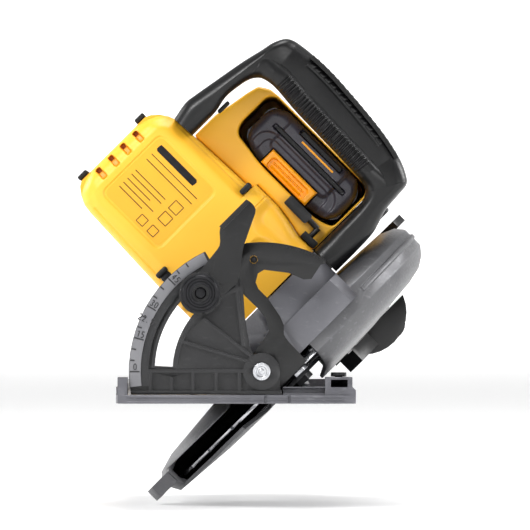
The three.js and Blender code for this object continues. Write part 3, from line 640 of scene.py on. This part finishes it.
# Corners of each figure as fractions of its height, from its lower left.
SHAPES_OF_DIGITS = {
    "0": [(0.1, 0.2), (0.1, 0.8), (0.3, 1), (0.5, 0.8), (0.5, 0.2), (0.3, 0), (0.1, 0.2)],
    "1": [(0.15, 0.8), (0.35, 1), (0.35, 0)],
    "2": [(0.1, 0.8), (0.3, 1), (0.5, 0.8), (0.45, 0.5), (0.1, 0), (0.52, 0)],
    "3": [(0.1, 0.9), (0.3, 1), (0.5, 0.8), (0.3, 0.52), (0.5, 0.25), (0.3, 0), (0.1, 0.12)],
    "4": [(0.42, 0), (0.42, 1), (0.08, 0.3), (0.55, 0.3)],
    "5": [(0.5, 1), (0.14, 1), (0.12, 0.58), (0.35, 0.62), (0.5, 0.35), (0.32, 0), (0.1, 0.1)],
    ".": [(0.2, 0), (0.2, 0.14)],
}


def number(text, centre, height, angle, base):
    """Figures of a scale as raised strokes, upright where angle is 0, turned anticlockwise."""
    turn = radians(angle)
    turned_by = np.array([[cos(turn), sin(turn)], [-sin(turn), cos(turn)]])
    shapes = []
    advance = 0.72  # from one figure to the next, in heights
    for place, figure in enumerate(text):
        line = SHAPES_OF_DIGITS[figure]
        p = np.array(line) - (0.3, 0.5)
        p[:, 0] += (place - (len(text) - 1) / 2) * advance
        p = resample(p * height, 3 * len(line), closed=False)
        shapes.append(stroke(p @ turned_by + centre, height * 0.17, MARK_HEIGHT, base))
    return gathered(shapes)


def polar(radius, angle, centre=(0, 0)):
    """A point at that radius and angle in degrees about a centre."""
    return (centre[0] + radius * cos(radians(angle)), centre[1] + radius * sin(radians(angle)))


class SAW_OT_shoe(Maker, bpy.types.Operator):
    """Sole plate, bevel casting with its scale, pivots and fence screw"""

    bl_idname = "saw.shoe"
    bl_label = "Shoe and bevel casting"

    def make(self):
        keep("shoe", "shoe_base", "cast_grey", "sole", 0.5)
        keep("front_quadrant", "shoe_base", "charcoal_casting", "charcoal", 0.4)
        keep("bevel_scale", "shoe_base", "scale_grey", "scale", 0.25)
        keep("front_pivot_bolt", "shoe_base", "steel", "zinc", 0.4)
        keep("rear_pivot_bracket", "shoe_base", "charcoal_casting", "charcoal")
        keep("rear_pivot_pin", "shoe_base", "steel", "zinc", 0.4)
        keep("fence_screw", "fence_knob", "black_steel", "oxide", 0.3)
        self.scale_marks()

    def scale_marks(self):
        """Ticks every 5 degrees across the scale, longer at the named angles, with figures."""
        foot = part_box("bevel_scale")[0][1] / MM + 0.05
        marks = []
        for angle in range(0, 56, 5):
            inner = 71.2 if angle % 15 == 0 else 74.4
            radii = (inner, (inner + SCALE_OUTER) / 2, SCALE_OUTER)
            marks.append(stroke([polar(r, 180 - angle) for r in radii], 0.9, MARK_HEIGHT, foot))
        for angle, text in ((2.2, "0"), (17.2, "15"), (24.5, "22.5"), (32.2, "30"), (47.4, "45")):
            centre = np.array(polar(73.9, 180 - angle))
            marks.append(number(text, centre, 3.6, -angle, foot))
        detail("scale_marks", gathered(marks), "shoe_base", "scale_grey", "ink", upright)


class SAW_OT_carriage(Maker, bpy.types.Operator):
    """Pressed bevel bracket, its stud and lever, the depth pin and depth arm"""

    bl_idname = "saw.carriage"
    bl_label = "Bevel carriage"

    def make(self):
        keep("bevel_bracket", "bevel_carriage", "black_steel", "coated", 0.5)
        keep("bevel_stud", "bevel_carriage", "steel", "oxide", 0.4)
        keep("depth_pivot_pin", "bevel_carriage", "steel", "zinc", 0.5)
        keep("depth_arm", "bevel_carriage", "black_steel", "coated", 0.4)
        keep("bevel_lever", "bevel_clamp", "black_steel", "coated", 0.6, segments=3)
        self.lever_rings()
        self.bracket_details()

    def lever_rings(self):
        """Washer and clamp nut in the lever's round head: a stepped profile turned about the
        stud, with three grooves between its rings."""
        profile = [(5.0, -13.0), (5.0, -15.7), (5.6, -16.2), (6.6, -16.2), (7.0, -15.5),
                   (8.2, -15.5), (8.6, -16.1), (10.0, -16.1), (10.6, -15.4), (11.4, -15.4),
                   (12.0, -14.4), (12.0, -13.4), (11.0, -13.0)]
        detail("lever_rings", turned_about_y(profile, polar(*STUD), 96), "bevel_clamp",
               "black_steel", "oxide", smooth_under=30)

    def bracket_details(self):
        """A blind rivet in the bracket's small hole and a row of fine teeth on its upper rim."""
        rivet = turned_about_y([(0.0001, 2.6), (1.2, 2.6), (1.5, 3.3), (1.9, 3.3), (2.15, 3.9),
                                (2.15, 4.9), (0.0001, 4.9)], (-49.5, 43), 40)
        teeth = []
        for angle in np.arange(106, 131, 1.45):
            path = [polar(r, angle) for r in (73.6, 74.25, 74.9)]
            teeth.append(stroke(path, 0.75, 0.3, BRACKET_FACE))
        detail("bracket_rivet", rivet, "bevel_carriage", "black_steel", "oxide")
        detail("bracket_teeth", gathered(teeth), "bevel_carriage", "black_steel", "coated")
        rim = [polar(75.2, angle) for angle in np.linspace(106, 142, 40)]
        detail("bracket_rim", stroke(rim, 0.8, MARK_HEIGHT, BRACKET_FACE), "bevel_carriage",
               "black_steel", "coated")


class SAW_OT_guards(Maker, bpy.types.Operator):
    """Upper guard, sprung lower guard with its lever, and the dust spout"""

    bl_idname = "saw.guards"
    bl_label = "Guards"

    def make(self):
        keep("upper_guard", "saw_frame", "guard_grey", "guard", 0.6)
        keep("dust_spout", "saw_frame", "black_plastic", "black")
        keep("lower_guard", "guard_unit", "guard_grey", "guard", 0.5)
        keep("guard_lever", "guard_unit", "black_plastic", "black", 0.5)
        keep("guard_spring", "guard_unit", "steel", "steel", 0.2)


class SAW_OT_gear_case(Maker, bpy.types.Operator):
    """Gear case, depth clamp and spindle lock"""

    bl_idname = "saw.gear_case"
    bl_label = "Gear case"

    def make(self):
        keep("gear_case", "saw_frame", "cast_grey", "case", 0.8)
        keep("depth_bolt", "depth_clamp", "steel", "zinc", 0.4)
        keep("depth_lever", "depth_clamp", "black_plastic", "black")
        keep("spindle_lock", "spindle_lock_unit", "black_plastic", "black", 0.5)


class SAW_OT_blade(Maker, bpy.types.Operator):
    """Saw blade with its carbide tips, spindle, flanges, bolt and gear"""

    bl_idname = "saw.blade"
    bl_label = "Blade and spindle"

    def make(self):
        keep("saw_blade", "blade_unit", "steel", "steel", 0.15, segments=1)
        self.tips()
        keep("spindle", "blade_unit", "steel", "steel", 0.3)
        keep("inner_flange", "blade_unit", "steel", "steel", 0.4)
        keep("outer_flange", "blade_unit", "steel", "zinc", 0.4)
        keep("blade_bolt", "blade_unit", "black_steel", "oxide", 0.4)
        keep("drive_gear", "blade_unit", "steel", "steel", 0.15, segments=1)

    def tips(self):
        """A carbide tip brazed to the face of every tooth, a little wider than the blade."""
        corners = ((94.7, 0.1), (89.6, 0.4), (89.8, 1.6), (94.3, 1.7))  # radius, degrees on
        left, right = 10.9, 12.9
        parts = []
        for tooth in range(sizes().blade_teeth):
            at = tooth * 360 / sizes().blade_teeth
            loop = [polar(radius, at + on, BLADE_CENTRE) for radius, on in corners]
            parts.append(slab(resample(loop, 16, 0.3), left, right, 0.15, 1, axis="x"))
        detail("blade_tips", gathered(parts), "blade_unit", "steel", "carbide")


class SAW_OT_hook(Maker, bpy.types.Operator):
    """Rafter hook and its mount"""

    bl_idname = "saw.hook"
    bl_label = "Rafter hook"

    def make(self):
        keep("hook_mount", "saw_frame", "black_plastic", "black", 0.5)
        keep("rafter_hook", "hook", "black_steel", "coated", 0.4)


class SAW_OT_rear_handle(Maker, bpy.types.Operator):
    """Two shells of the rear handle, trigger and lock-off button"""

    bl_idname = "saw.rear_handle"
    bl_label = "Rear handle"

    def make(self):
        keep("rear_handle_left", "saw_frame", "black_plastic", "black", 2.0, segments=4)
        keep("rear_handle_right", "saw_frame", "black_plastic", "black", 2.0, segments=4)
        keep("trigger", "trigger_unit", "rubber", "rubber", 1.0, segments=3)
        keep("lock_off_button", "lock_off_unit", "rubber", "rubber", 0.5)


class SAW_OT_motor(Maker, bpy.types.Operator):
    """Motor housing and end cap, with rotor, stator, bearings, pinion and fan inside"""

    bl_idname = "saw.motor"
    bl_label = "Motor"

    def make(self):
        self.end_cap()
        self.housing()
        keep("bumper_top", "saw_frame", "rubber", "rubber", 1.0, segments=3)
        keep("bumper_bottom", "saw_frame", "rubber", "rubber", 1.0, segments=3)
        keep("stator", "saw_frame", "winding", "winding", 0.8)
        keep("outer_bearing", "saw_frame", "steel", "steel", 0.3)
        keep("inner_bearing", "saw_frame", "steel", "steel", 0.3)
        keep("spindle_bearing", "saw_frame", "steel", "steel", 0.3)
        keep("rotor", "rotor_unit", "steel", "steel", 0.3)
        keep("motor_pinion", "rotor_unit", "steel", "steel", 0.12, segments=1)
        keep("cooling_fan", "rotor_unit", "black_plastic", "black", 0.3)
        self.screws()
        self.rating_plate()

    def bulge(self, x, z):
        """The swelling over the windings, shared by the cap and the housing: 3.2 mm proud."""
        return -3.2 * within(x, z, -91.5, -58, 7.5, 56, 13, 5)

    def end_cap(self):
        """Outer cap: rounded off at its end, with four vents and a framed, sunk panel."""
        left, right = -155.5, MOTOR_JOINT
        bottom = [(left, 3.5), (-153.5, 0.4), (-149, -3), (-144, -5.4), (-138, -6.2), (right, -8.5)]
        top = [(left, 57), (-154, 60.4), (-150.5, 64.3), (-146, 67.4), (-141, 69.3), (right, 71.8)]

        def depth(x, z, low, high):
            fall = rim_fall(x, z, low, high, left, radius=12, side_radius=9)
            frame_step = 1.2 * (1 - within(x, z, -147, -60, 0.5, 64.5, 9, 4))
            panel = 0.9 * within(x, z, -142, -93.5, 6.5, 57, 4.5, 0.9)
            vents = sum(within(x, z, -153.6, -146.3, low_z, low_z + 3.4, 1.0, 0.7)
                        for low_z in (13.5, 24, 34, 44.5))
            ledge = 1.0 * (line_dip(x, z, (-138, 67.5), (right, 68.6), 2.2)
                           + line_dip(x, z, (-138, -2.2), (right, -4.0), 2.2))
            return np.maximum(fall + frame_step + panel + ledge + self.bulge(x, z), 0) + 7 * vents

        shape = relief_block(left, right, bottom, top, MOTOR_FRONT, MOTOR_REAR, depth, 0.5)
        settle(make_mesh("motor_end_cap_shell", *shape, smooth_under=50), "saw_frame",
               "housing_yellow", FINISHES["yellow"], "motor_end_cap")
        # Amber plates at the floors of the vents: painted shade of the housing's inside.
        vent_shade_plates = [plate(-153.2, -146.7, z, z + 3, 79.7, 85, 0.3, count=24, steps=2)
                 for z in (13.7, 24.2, 34.2, 44.7)]
        detail("vent_painted_shade", gathered(vent_shade_plates), "saw_frame", "housing_yellow", "inside")

    def housing(self):
        """Inner housing: bulge, seam, and a dished scoop below the battery bay."""
        left, right = MOTOR_JOINT, -28
        bottom = [(left, -8.5), (right, -8.5)]
        top = [(left, 75.6), (-62, 75.8), (-52, 74.2), (-42, 71.8), (right, 71.8)]

        def depth(x, z, low, high):
            fall = rim_fall(x, z, low, high, radius=12)
            seam = 0.8 * line_dip(x, z, (-71, 60), (-71, 80), 1.4)
            scoop = 5.0 * within(x, z, -68, -34, 59, 90, 9, 9)
            scoop = scoop + 2.2 * within(x, z, -57.5, -20, -20, 57.5, 10, 5)
            return np.maximum(fall + seam + scoop + self.bulge(x, z), 0)

        shape = relief_block(left, right, bottom, top, MOTOR_FRONT, MOTOR_REAR, depth, 0.5)
        settle(make_mesh("motor_housing_shell", *shape, smooth_under=50), "saw_frame",
               "housing_yellow", FINISHES["yellow"], "motor_housing")

    def screws(self):
        """Black sleeves at the joint of cap and housing, the round one with a screw head."""
        centre = (-79.2, -1.0)
        sleeves = [plate(-84.6, -81.0, low, high, 67.2, 84, 0.8, 1.6, steps=3)
                   for low, high in ((65.2, 73.5), (-5.2, 3.0))]
        sleeves.append(rod(centre, 3.4, 69.4, 78, 0.6, 32))
        detail("housing_sleeves", gathered(sleeves), "saw_frame", "black_plastic", "black")
        detail("housing_screw", rod(centre, 2.3, 68.7, 70, 0.4, 24), "saw_frame", "steel",
               "oxide")

    def rating_plate(self):
        """A plain film in the cap's sunk panel, with ruled lines and empty boxes on it."""
        face = MOTOR_FRONT + 0.9
        foot = face - 0.14
        film = plate(-140.6, -95, 8, 55.6, face - 0.15, face + 0.5, 0.1, 3.5, count=80)
        detail("rating_film", film, "saw_frame", "housing_yellow", "plate")
        rules = [stroke([(-137, z), ((x1 - 137) / 2, z), (x1, z)], 0.55, 0.12, foot)
                 for z, x1 in ((44.5, -99), (40.2, -99), (31.0, -112), (27.6, -112), (24.2, -118),
                               (20.8, -112), (17.4, -118))]
        boxes = []
        for x, z, half in ((-104, 32, 3.2), (-104, 23, 3.2), (-113, 12.6, 2.6), (-104, 12.6, 2.6)):
            corners = [(x - half, z - half), (x + half, z - half), (x + half, z + half),
                       (x - half, z + half), (x - half, z - half)]
            boxes.append(stroke(resample(corners, 41, closed=False), 0.5, 0.12, foot))
        bar = plate(-137, -106, 48, 52.5, face - 0.3, face, 0.05, 1.0)
        detail("rating_rules", gathered(rules + boxes + [bar]), "saw_frame", "black_plastic",
               "oxide")


class SAW_OT_battery(Maker, bpy.types.Operator):
    """Battery bay with its terminals and controller, pack and release button"""

    bl_idname = "saw.battery"
    bl_label = "Battery"

    def make(self):
        self.bay()
        keep("battery_terminal", "saw_frame", "black_plastic", "black", 0.4)
        keep("controller", "saw_frame", "pack_grey", "pack", 0.8)
        self.pack()
        self.button()

    def bay(self):
        """Sleeve round the pack: the outer and the inner outline are matched by direction from
        the middle, and a profile is carried round between them: up the outside, over a rounded
        front lip, down the inside, and across the back."""
        lip_depth = 2.2
        outer = resample([(-127.2, 70.2), (-127, 88), (-125, 98), (-123, 110), (-121, 118),
                          (-115, 121.9), (-108, 122.7), (-32, 122.5), (-28.6, 119), (-28.6, 72.2),
                          (-41, 72.2), (-52, 74.6), (-62, 76.1), (-80.3, 76.1), (-80.7, 72.1)],
                         1400, 1.5)
        mouth = resample([(-113, 95), (-109.5, 89), (-100, 88), (-90, 86.4), (-82, 86), (-43, 86),
                          (-35, 88), (-29.8, 90.5), (-29.8, 117.8), (-33.5, 121.6), (-109, 121.6),
                          (-113, 117.8)], 900, 4)
        angle = np.linspace(0, 2 * pi, 480, endpoint=False)
        centre = np.array([-74, 104])

        def towards(loop):
            p = loop - centre
            turn = np.arctan2(p[:, 1], p[:, 0]) % (2 * pi)
            order = np.argsort(turn)
            reach = np.interp(angle, turn[order], np.hypot(*p.T)[order], period=2 * pi)
            return centre + np.stack([np.cos(angle), np.sin(angle)], -1) * reach[:, None]

        out, inside = towards(outer), towards(mouth)
        wall = np.linalg.norm(out - inside, axis=1, keepdims=True)
        inward = (inside - out) / wall
        lip = np.minimum(lip_depth, wall * 0.45)
        shoulder = BAY_FRONT + lip_depth
        turns = np.linspace(0, pi / 2, 5)
        rings = [(out, BAY_REAR), (out, shoulder)]
        rings += [(out + inward * lip * (1 - cos(t)), shoulder - lip_depth * sin(t))
                  for t in turns[1:]]
        rings += [(inside - inward * lip * (1 - cos(t)), shoulder - lip_depth * sin(t))
                  for t in turns[:0:-1]]
        rings += [(inside, shoulder), (inside, BAY_REAR - 4)]
        points = np.vstack([np.stack([r[:, 0], np.full(len(r), y), r[:, 1]], -1)
                            for r, y in rings])
        faces = tube_faces(len(rings), len(angle))
        settle(make_mesh("battery_bay_shell", points, faces), "saw_frame", "housing_yellow",
               FINISHES["yellow"], "battery_bay")

    def pack(self):
        """Battery case: chamfered corners, a raised middle, two finger grooves, a stepped
        surround below them and a pocket for the button."""
        left, right = -107, -31.5
        bottom = [(left, 95.5), (-105, 92.4), (-99, 89), (-88, 87), (-51, 87), (-38.5, 89.5),
                  (-33.5, 92.6), (right, 95.5)]
        top = [(left, 112.5), (-105.5, 116), (-97, 120.5), (-39.5, 120.5), (-33, 114.5),
               (right, 111)]

        def depth(x, z, low, high):
            fall = rim_fall(x, z, low, high, left, right, radius=6)
            block = 1.8 * (1 - within(x, z, -92, -46, 98, 130, 3, 3))
            grooves = 3.2 * within(x, z, -98, -39, 107.3, 110.2, 1.2, 0.8)
            grooves = np.maximum(grooves, 3.0 * within(x, z, -84, -49, 115.6, 118.8, 1.2, 0.8))
            surround = 1.6 * within(x, z, -101, -38, 80, 105.4, 9, 1.6)
            step = 1.4 * within(x, z, -95.5, -43.5, 80, 102.4, 6, 1.2)
            pocket = 6.2 * within(x, z, -88.4, -50.6, 80, 98.4, 1.0, 0.7)
            return fall + block + grooves + surround + step + pocket

        shape = relief_block(left, right, bottom, top, PACK_FRONT, PACK_REAR, depth, 0.45)
        settle(make_mesh("battery_pack_case", *shape, smooth_under=50), "battery", "pack_grey",
               FINISHES["pack"], "battery_pack")
        mark = stroke([(x, 113.2) for x in (-79, -66, -53)], 1.3, 0.3, PACK_FRONT + 0.1)
        detail("battery_mark", mark, "battery", "button_yellow", "button")
        # Black plates at the floors of the finger grooves: painted shade in the grey case's
        # grooves.
        groove_shade_plates = [plate(-96.5, -40.5, 107.6, 110, 97.6, 101.5, 0.2, 1),
                   plate(-82.8, -50.2, 115.9, 118.6, 97.4, 100, 0.2, 1)]
        detail("battery_groove_painted_shade", gathered(groove_shade_plates), "battery", "pack_grey", "black")

    def button(self):
        """Release button: a rounded cap with a sunk grip that has two ridges across."""
        left, right = -88, -51

        def depth(x, z, low, high):
            fall = rim_fall(x, z, low, high, left, right, radius=1.6)
            grip = 3.0 * within(x, z, -84.5, -55.0, 87.8, 95.0, 2.2, 1.0)
            ridges = 1.7 * (within(x, z, -82, -57.5, 89.3, 90.2, 0.4, 0.6)
                            + within(x, z, -82, -57.5, 91.9, 92.8, 0.4, 0.6))
            return fall + grip - ridges

        shape = relief_block(left, right, [(left, 87.3), (right, 87.3)],
                             [(left, 97.9), (right, 97.9)], 94.0, 98.5, depth, 0.3, 0.6)
        settle(make_mesh("battery_button_cap", *shape, smooth_under=50), "battery_latch",
               "button_yellow", FINISHES["button"], "battery_button")


# Corners of the front handle's loop, outer then inner, from the foot on the motor round to the
# foot on the gear case.
HOOP = np.array((
    ((-142, 68.6), (-127.4, 69.4)), ((-144, 80), (-127.4, 80)), ((-143, 88.5), (-127.6, 89)),
    ((-140.5, 103), (-129.6, 100)), ((-137.5, 120), (-128.6, 110.5)),
    ((-134.5, 133), (-127.4, 115.5)), ((-131.8, 144), (-125.4, 119.4)),
    ((-126, 151.2), (-121.5, 122.6)), ((-111, 153.9), (-112.5, 124.0)),
    ((-95, 154.5), (-95, 122.7)), ((-77, 153.5), (-77, 122.2)), ((-60, 152), (-60, 121.8)),
    ((-45, 150), (-46.5, 121.4)), ((-31, 146.8), (-37.5, 121.0)),
    ((-21.5, 142.6), (-32.6, 119.6)), ((-17, 138.5), (-30, 116.6)), ((-16, 130), (-28.6, 112.5)),
    ((-15.2, 120), (-28, 106)), ((-12.6, 111), (-28, 98)), ((-10.6, 103), (-28, 90)),
    ((-10, 88), (-28, 82)), ((-10, 72.6), (-28, 72.6)),
), float)


class SAW_OT_front_handle(Maker, bpy.types.Operator):
    """Front handle with its grip ribs and rubber top"""

    bl_idname = "saw.front_handle"
    bl_label = "Front handle"

    def make(self):
        self.hoop()
        self.rubber_top()
        latch = plate(-127.8, -125.4, 90, 99, 82, 92, 0.6, 1, count=32, steps=3)
        detail("handle_latch", latch, "saw_frame", "black_plastic", "black")

    def hoop(self):
        """A section carried round the loop between the outer and inner curves. On the legs it is
        a rounded rectangle. Along the top its front is a round bar, a circle 7 mm in radius
        about a line 6.2 mm above the inner curve, with ribs across it, under a smooth hood with
        a parting line and a row of small tiles; 1 in `top` is all bar and hood."""
        t = np.concatenate([np.arange(0, 7.5, 1 / 16), np.arange(7.5, 13.5, 1 / 62),
                            np.linspace(13.5, 21, 121)])
        outer, inner = smooth_path(HOOP[:, 0], t), smooth_path(HOOP[:, 1], t)
        width = np.linalg.norm(outer - inner, axis=1)[:, None]
        x, high_up = inner[:, :1], inner[:, 1:] > 118
        share = np.linspace(0, 1, 72)[None, :]
        a = width * share
        past = width - a
        bar_radius, bar_middle = 7, 6.2
        plain = 56 + np.maximum(round_off(a, 8), round_off(past, 8))
        bar = 54 + bar_radius - np.sqrt(np.maximum(bar_radius**2 - (a - bar_middle) ** 2, 0))
        hood = 58.2 + 0.018 * np.maximum(a - 11, 0) ** 2 + round_off(past, 6)
        ridge = np.where(np.abs(a - bar_middle) < bar_radius, bar, np.inf)
        crown = np.where(a < bar_middle, bar, np.minimum(ridge, hood))
        crown += 1.5 * np.clip(1 - a / 6, 0, 1) ** 2
        top = np.clip(np.minimum(x + 128, -30 - x) / 9, 0, 1)
        top = np.where(high_up, top, 0) ** 1.2
        front = plain * (1 - top) + crown * top
        pitch = (GRIP_RIGHT - GRIP_LEFT) / sizes().grip_ribs
        wave = np.clip(0.5 + 1.3 * np.cos(2 * pi * (x - GRIP_LEFT) / pitch), 0, 1)
        ribbed = (x > GRIP_LEFT - pitch / 2) & (x < GRIP_RIGHT + pitch / 2)
        front += ribbed * band(a, 2.0, 10.5, 0.5, 1.2) * (0.9 - 1.9 * wave)
        hooded = (x > -110) & (x < -46) & high_up
        line = band(past, 7.0, 8.0, 0.3, 0.8)
        tile = within((x + 0.8 * past) % 4.6, past, 1.0, 3.8, 2.4, 5.6, 0.5, 0.7)
        front += 0.6 * hooded * (line - tile)
        # The rear runs the same line back again, at the loop's full depth.
        rear_share = share[:, ::-4]
        rear_a = width * rear_share
        rear = 90 - round_off(np.minimum(rear_a, width - rear_a), 6)

        def lifted(part, depth):
            flat = inner[:, None] + (outer - inner)[:, None] * part[..., None]
            return np.stack([flat[..., 0], depth, flat[..., 1]], -1)

        section = np.concatenate([lifted(share, front), lifted(rear_share, rear)], 1)
        faces = tube_faces(*section.shape[:2])
        settle(make_mesh("front_handle_hoop", section.reshape(-1, 3), faces, smooth_under=55),
               "saw_frame", "black_plastic", FINISHES["black"], "aux_handle")

    def rubber_top(self):
        """Rubber strip let into the top of the hood: a flat section with rounded shoulders,
        carried along the loop's outer curve, with low bars across it for grip."""
        outer = smooth_path(HOOP[:, 0], np.linspace(8.06, 12.94, 300))
        up = sideways(outer)
        depth = np.array([61, 61, 61.5, 62.6, 66, 70, 74, 78, 81.4, 82.5, 83, 83])
        lift = np.array([-3, -0.9, -0.35, -0.05, 0, 0, 0, 0, -0.05, -0.35, -0.9, -3])
        bars = np.clip(0.5 + 1.2 * np.cos(2 * pi * run_lengths(outer) / 4.2), 0, 1)[:, None]
        raised = 0.7 * (lift > -0.2)[None] * (bars - 1)
        flat = outer[:, None] + up[:, None] * (lift[None] + raised)[..., None]
        points = np.stack([flat[..., 0], np.broadcast_to(depth, flat.shape[:2]), flat[..., 1]], -1)
        faces = tube_faces(*points.shape[:2])
        settle(make_mesh("front_handle_rubber", points.reshape(-1, 3), faces, smooth_under=45),
               "saw_frame", "rubber", FINISHES["rubber"], "aux_grip")


class SAW_OT_stage(Maker, bpy.types.Operator):
    """Pale floor and backdrop, soft lights and the camera"""

    bl_idname = "saw.stage"
    bl_label = "Stage"

    def make(self):
        self.sweep()
        self.lights()
        self.camera()

    def sweep(self):
        """One round sheet: a flat floor below the saw that curves up into a wall all round, a
        profile of radius and height turned about the upright through the saw's middle."""
        low = CAD_BOX[0][2] - 0.002
        flat, bend, wall, sides = 8.0, 1.5, 3.5, 96
        turn = np.linspace(0, pi / 2, 13)
        radius = np.concatenate([[0.001, 2.5, 6], flat + bend * np.sin(turn), [flat + bend]])
        height = np.concatenate([[0, 0, 0], bend * (1 - np.cos(turn)), [wall]]) + low
        angle = np.linspace(0, 2 * pi, sides, endpoint=False)
        points = np.stack([radius[:, None] * np.cos(angle), radius[:, None] * np.sin(angle),
                           np.broadcast_to(height[:, None], (len(radius), sides))], -1)
        mesh = bpy.data.meshes.new("sweep")
        mesh.from_pydata(points.reshape(-1, 3).tolist(), [], grid_faces(len(radius), sides))
        mesh.polygons.foreach_set("use_smooth", [True] * len(mesh.polygons))
        # Seamless paper: white, matt, with a slight fibre.
        material, tree, shader, place = new_finish("paper_seamless_white")
        fibre = noise(tree, place, 6, 3)
        tree.links.new(blended(tree, fibre, linear("#F4F4F4"), linear("#F7F7F7")),
                       shader.inputs["Base Color"])
        shader.inputs["Roughness"].default_value = 0.9
        # The wall is lit from behind, so that it stays white where the lights fall off.
        away = add(tree, "VectorMath", {0: place}, operation="LENGTH").outputs["Value"]
        shader.inputs["Emission Color"].default_value = (1, 1, 1, 1)
        tree.links.new(spread(tree, away, 0, WALL_GLOW, (2.0, flat)),
                       shader.inputs["Emission Strength"])
        mesh.materials.append(material)
        placed("sweep", mesh)

    def lights(self):
        """Five soft boxes round the saw and a pale sky."""
        target = Vector((0, 0.12, 0.08))
        boxes = (  # name, place in m, width in m, power in W
            ("key", (-1.7, -2.3, 2.2), 1.1, 70),
            ("fill", (2.2, -2.4, 0.6), 1.6, 20),
            ("top", (0.3, 0.3, 2.4), 1.6, 44),
            ("left_rim", (-2.0, 0.9, 0.9), 1.0, 26),
            ("right_rim", (2.0, 0.6, 1.2), 1.0, 30),
        )
        for name, place, size, power in boxes:
            light = bpy.data.lights.new(name, "AREA")
            light.shape = "DISK"
            light.size = size
            light.energy = power
            lamp = placed(name, light)
            lamp.location = place
            lamp.rotation_euler = (target - lamp.location).to_track_quat("-Z", "Y").to_euler()
        world = bpy.data.worlds.new("studio")
        bpy.context.scene.world = world
        world.use_nodes = True
        sky = world.node_tree.nodes["Background"]
        sky.inputs["Color"].default_value = (1, 1, 1, 1)
        sky.inputs["Strength"].default_value = SKY

    def camera(self):
        """A long lens, level, looking straight at the saw's front."""
        middle = (np.array(CAD_BOX[0]) + CAD_BOX[1]) / 2
        lens = bpy.data.cameras.new("camera")
        lens.lens = sizes().lens
        lens.sensor_width = 36
        lens.clip_end = 100
        camera = placed("camera", lens)
        camera.location = (middle[0] + CAMERA_ACROSS, -sizes().camera_distance,
                           middle[2] + CAMERA_UP)
        camera.rotation_euler = (pi / 2, 0, 0)
        bpy.context.scene.camera = camera
        bpy.context.scene.view_settings.view_transform = "Standard"


# ------------------------------------------------------------------ add-on

MAKERS = (
    SAW_OT_shoe, SAW_OT_carriage, SAW_OT_guards, SAW_OT_gear_case, SAW_OT_blade, SAW_OT_motor,
    SAW_OT_battery, SAW_OT_hook, SAW_OT_front_handle, SAW_OT_rear_handle, SAW_OT_stage,
)


class SAW_PT_panel(bpy.types.Panel):
    """Lists the saw's colours, sizes and pieces"""

    bl_idname = "SAW_PT_panel"
    bl_label = "Circular saw"
    bl_space_type = "VIEW_3D"
    bl_region_type = "UI"
    bl_category = "Saw"

    def draw(self, context):
        for group in (context.scene.saw_colours, context.scene.saw_sizes):
            for key in group.__annotations__:
                self.layout.prop(group, key)
        for maker in MAKERS:
            self.layout.operator(maker.bl_idname)


CLASSES = (SawColours, SawSizes, *MAKERS, SAW_PT_panel)


def register():
    for cls in CLASSES:
        bpy.utils.register_class(cls)
    bpy.types.Scene.saw_colours = bpy.props.PointerProperty(type=SawColours)
    bpy.types.Scene.saw_sizes = bpy.props.PointerProperty(type=SawSizes)


def unregister():
    del bpy.types.Scene.saw_colours
    del bpy.types.Scene.saw_sizes
    for cls in reversed(CLASSES):
        bpy.utils.unregister_class(cls)


def main():
    """Builds every piece and the stage."""
    register()
    FINISHES.update(make_finishes(colours()))
    for maker in MAKERS:
        group, _, name = maker.bl_idname.partition(".")
        getattr(getattr(bpy.ops, group), name)()


if __name__ == "__main__":
    main()
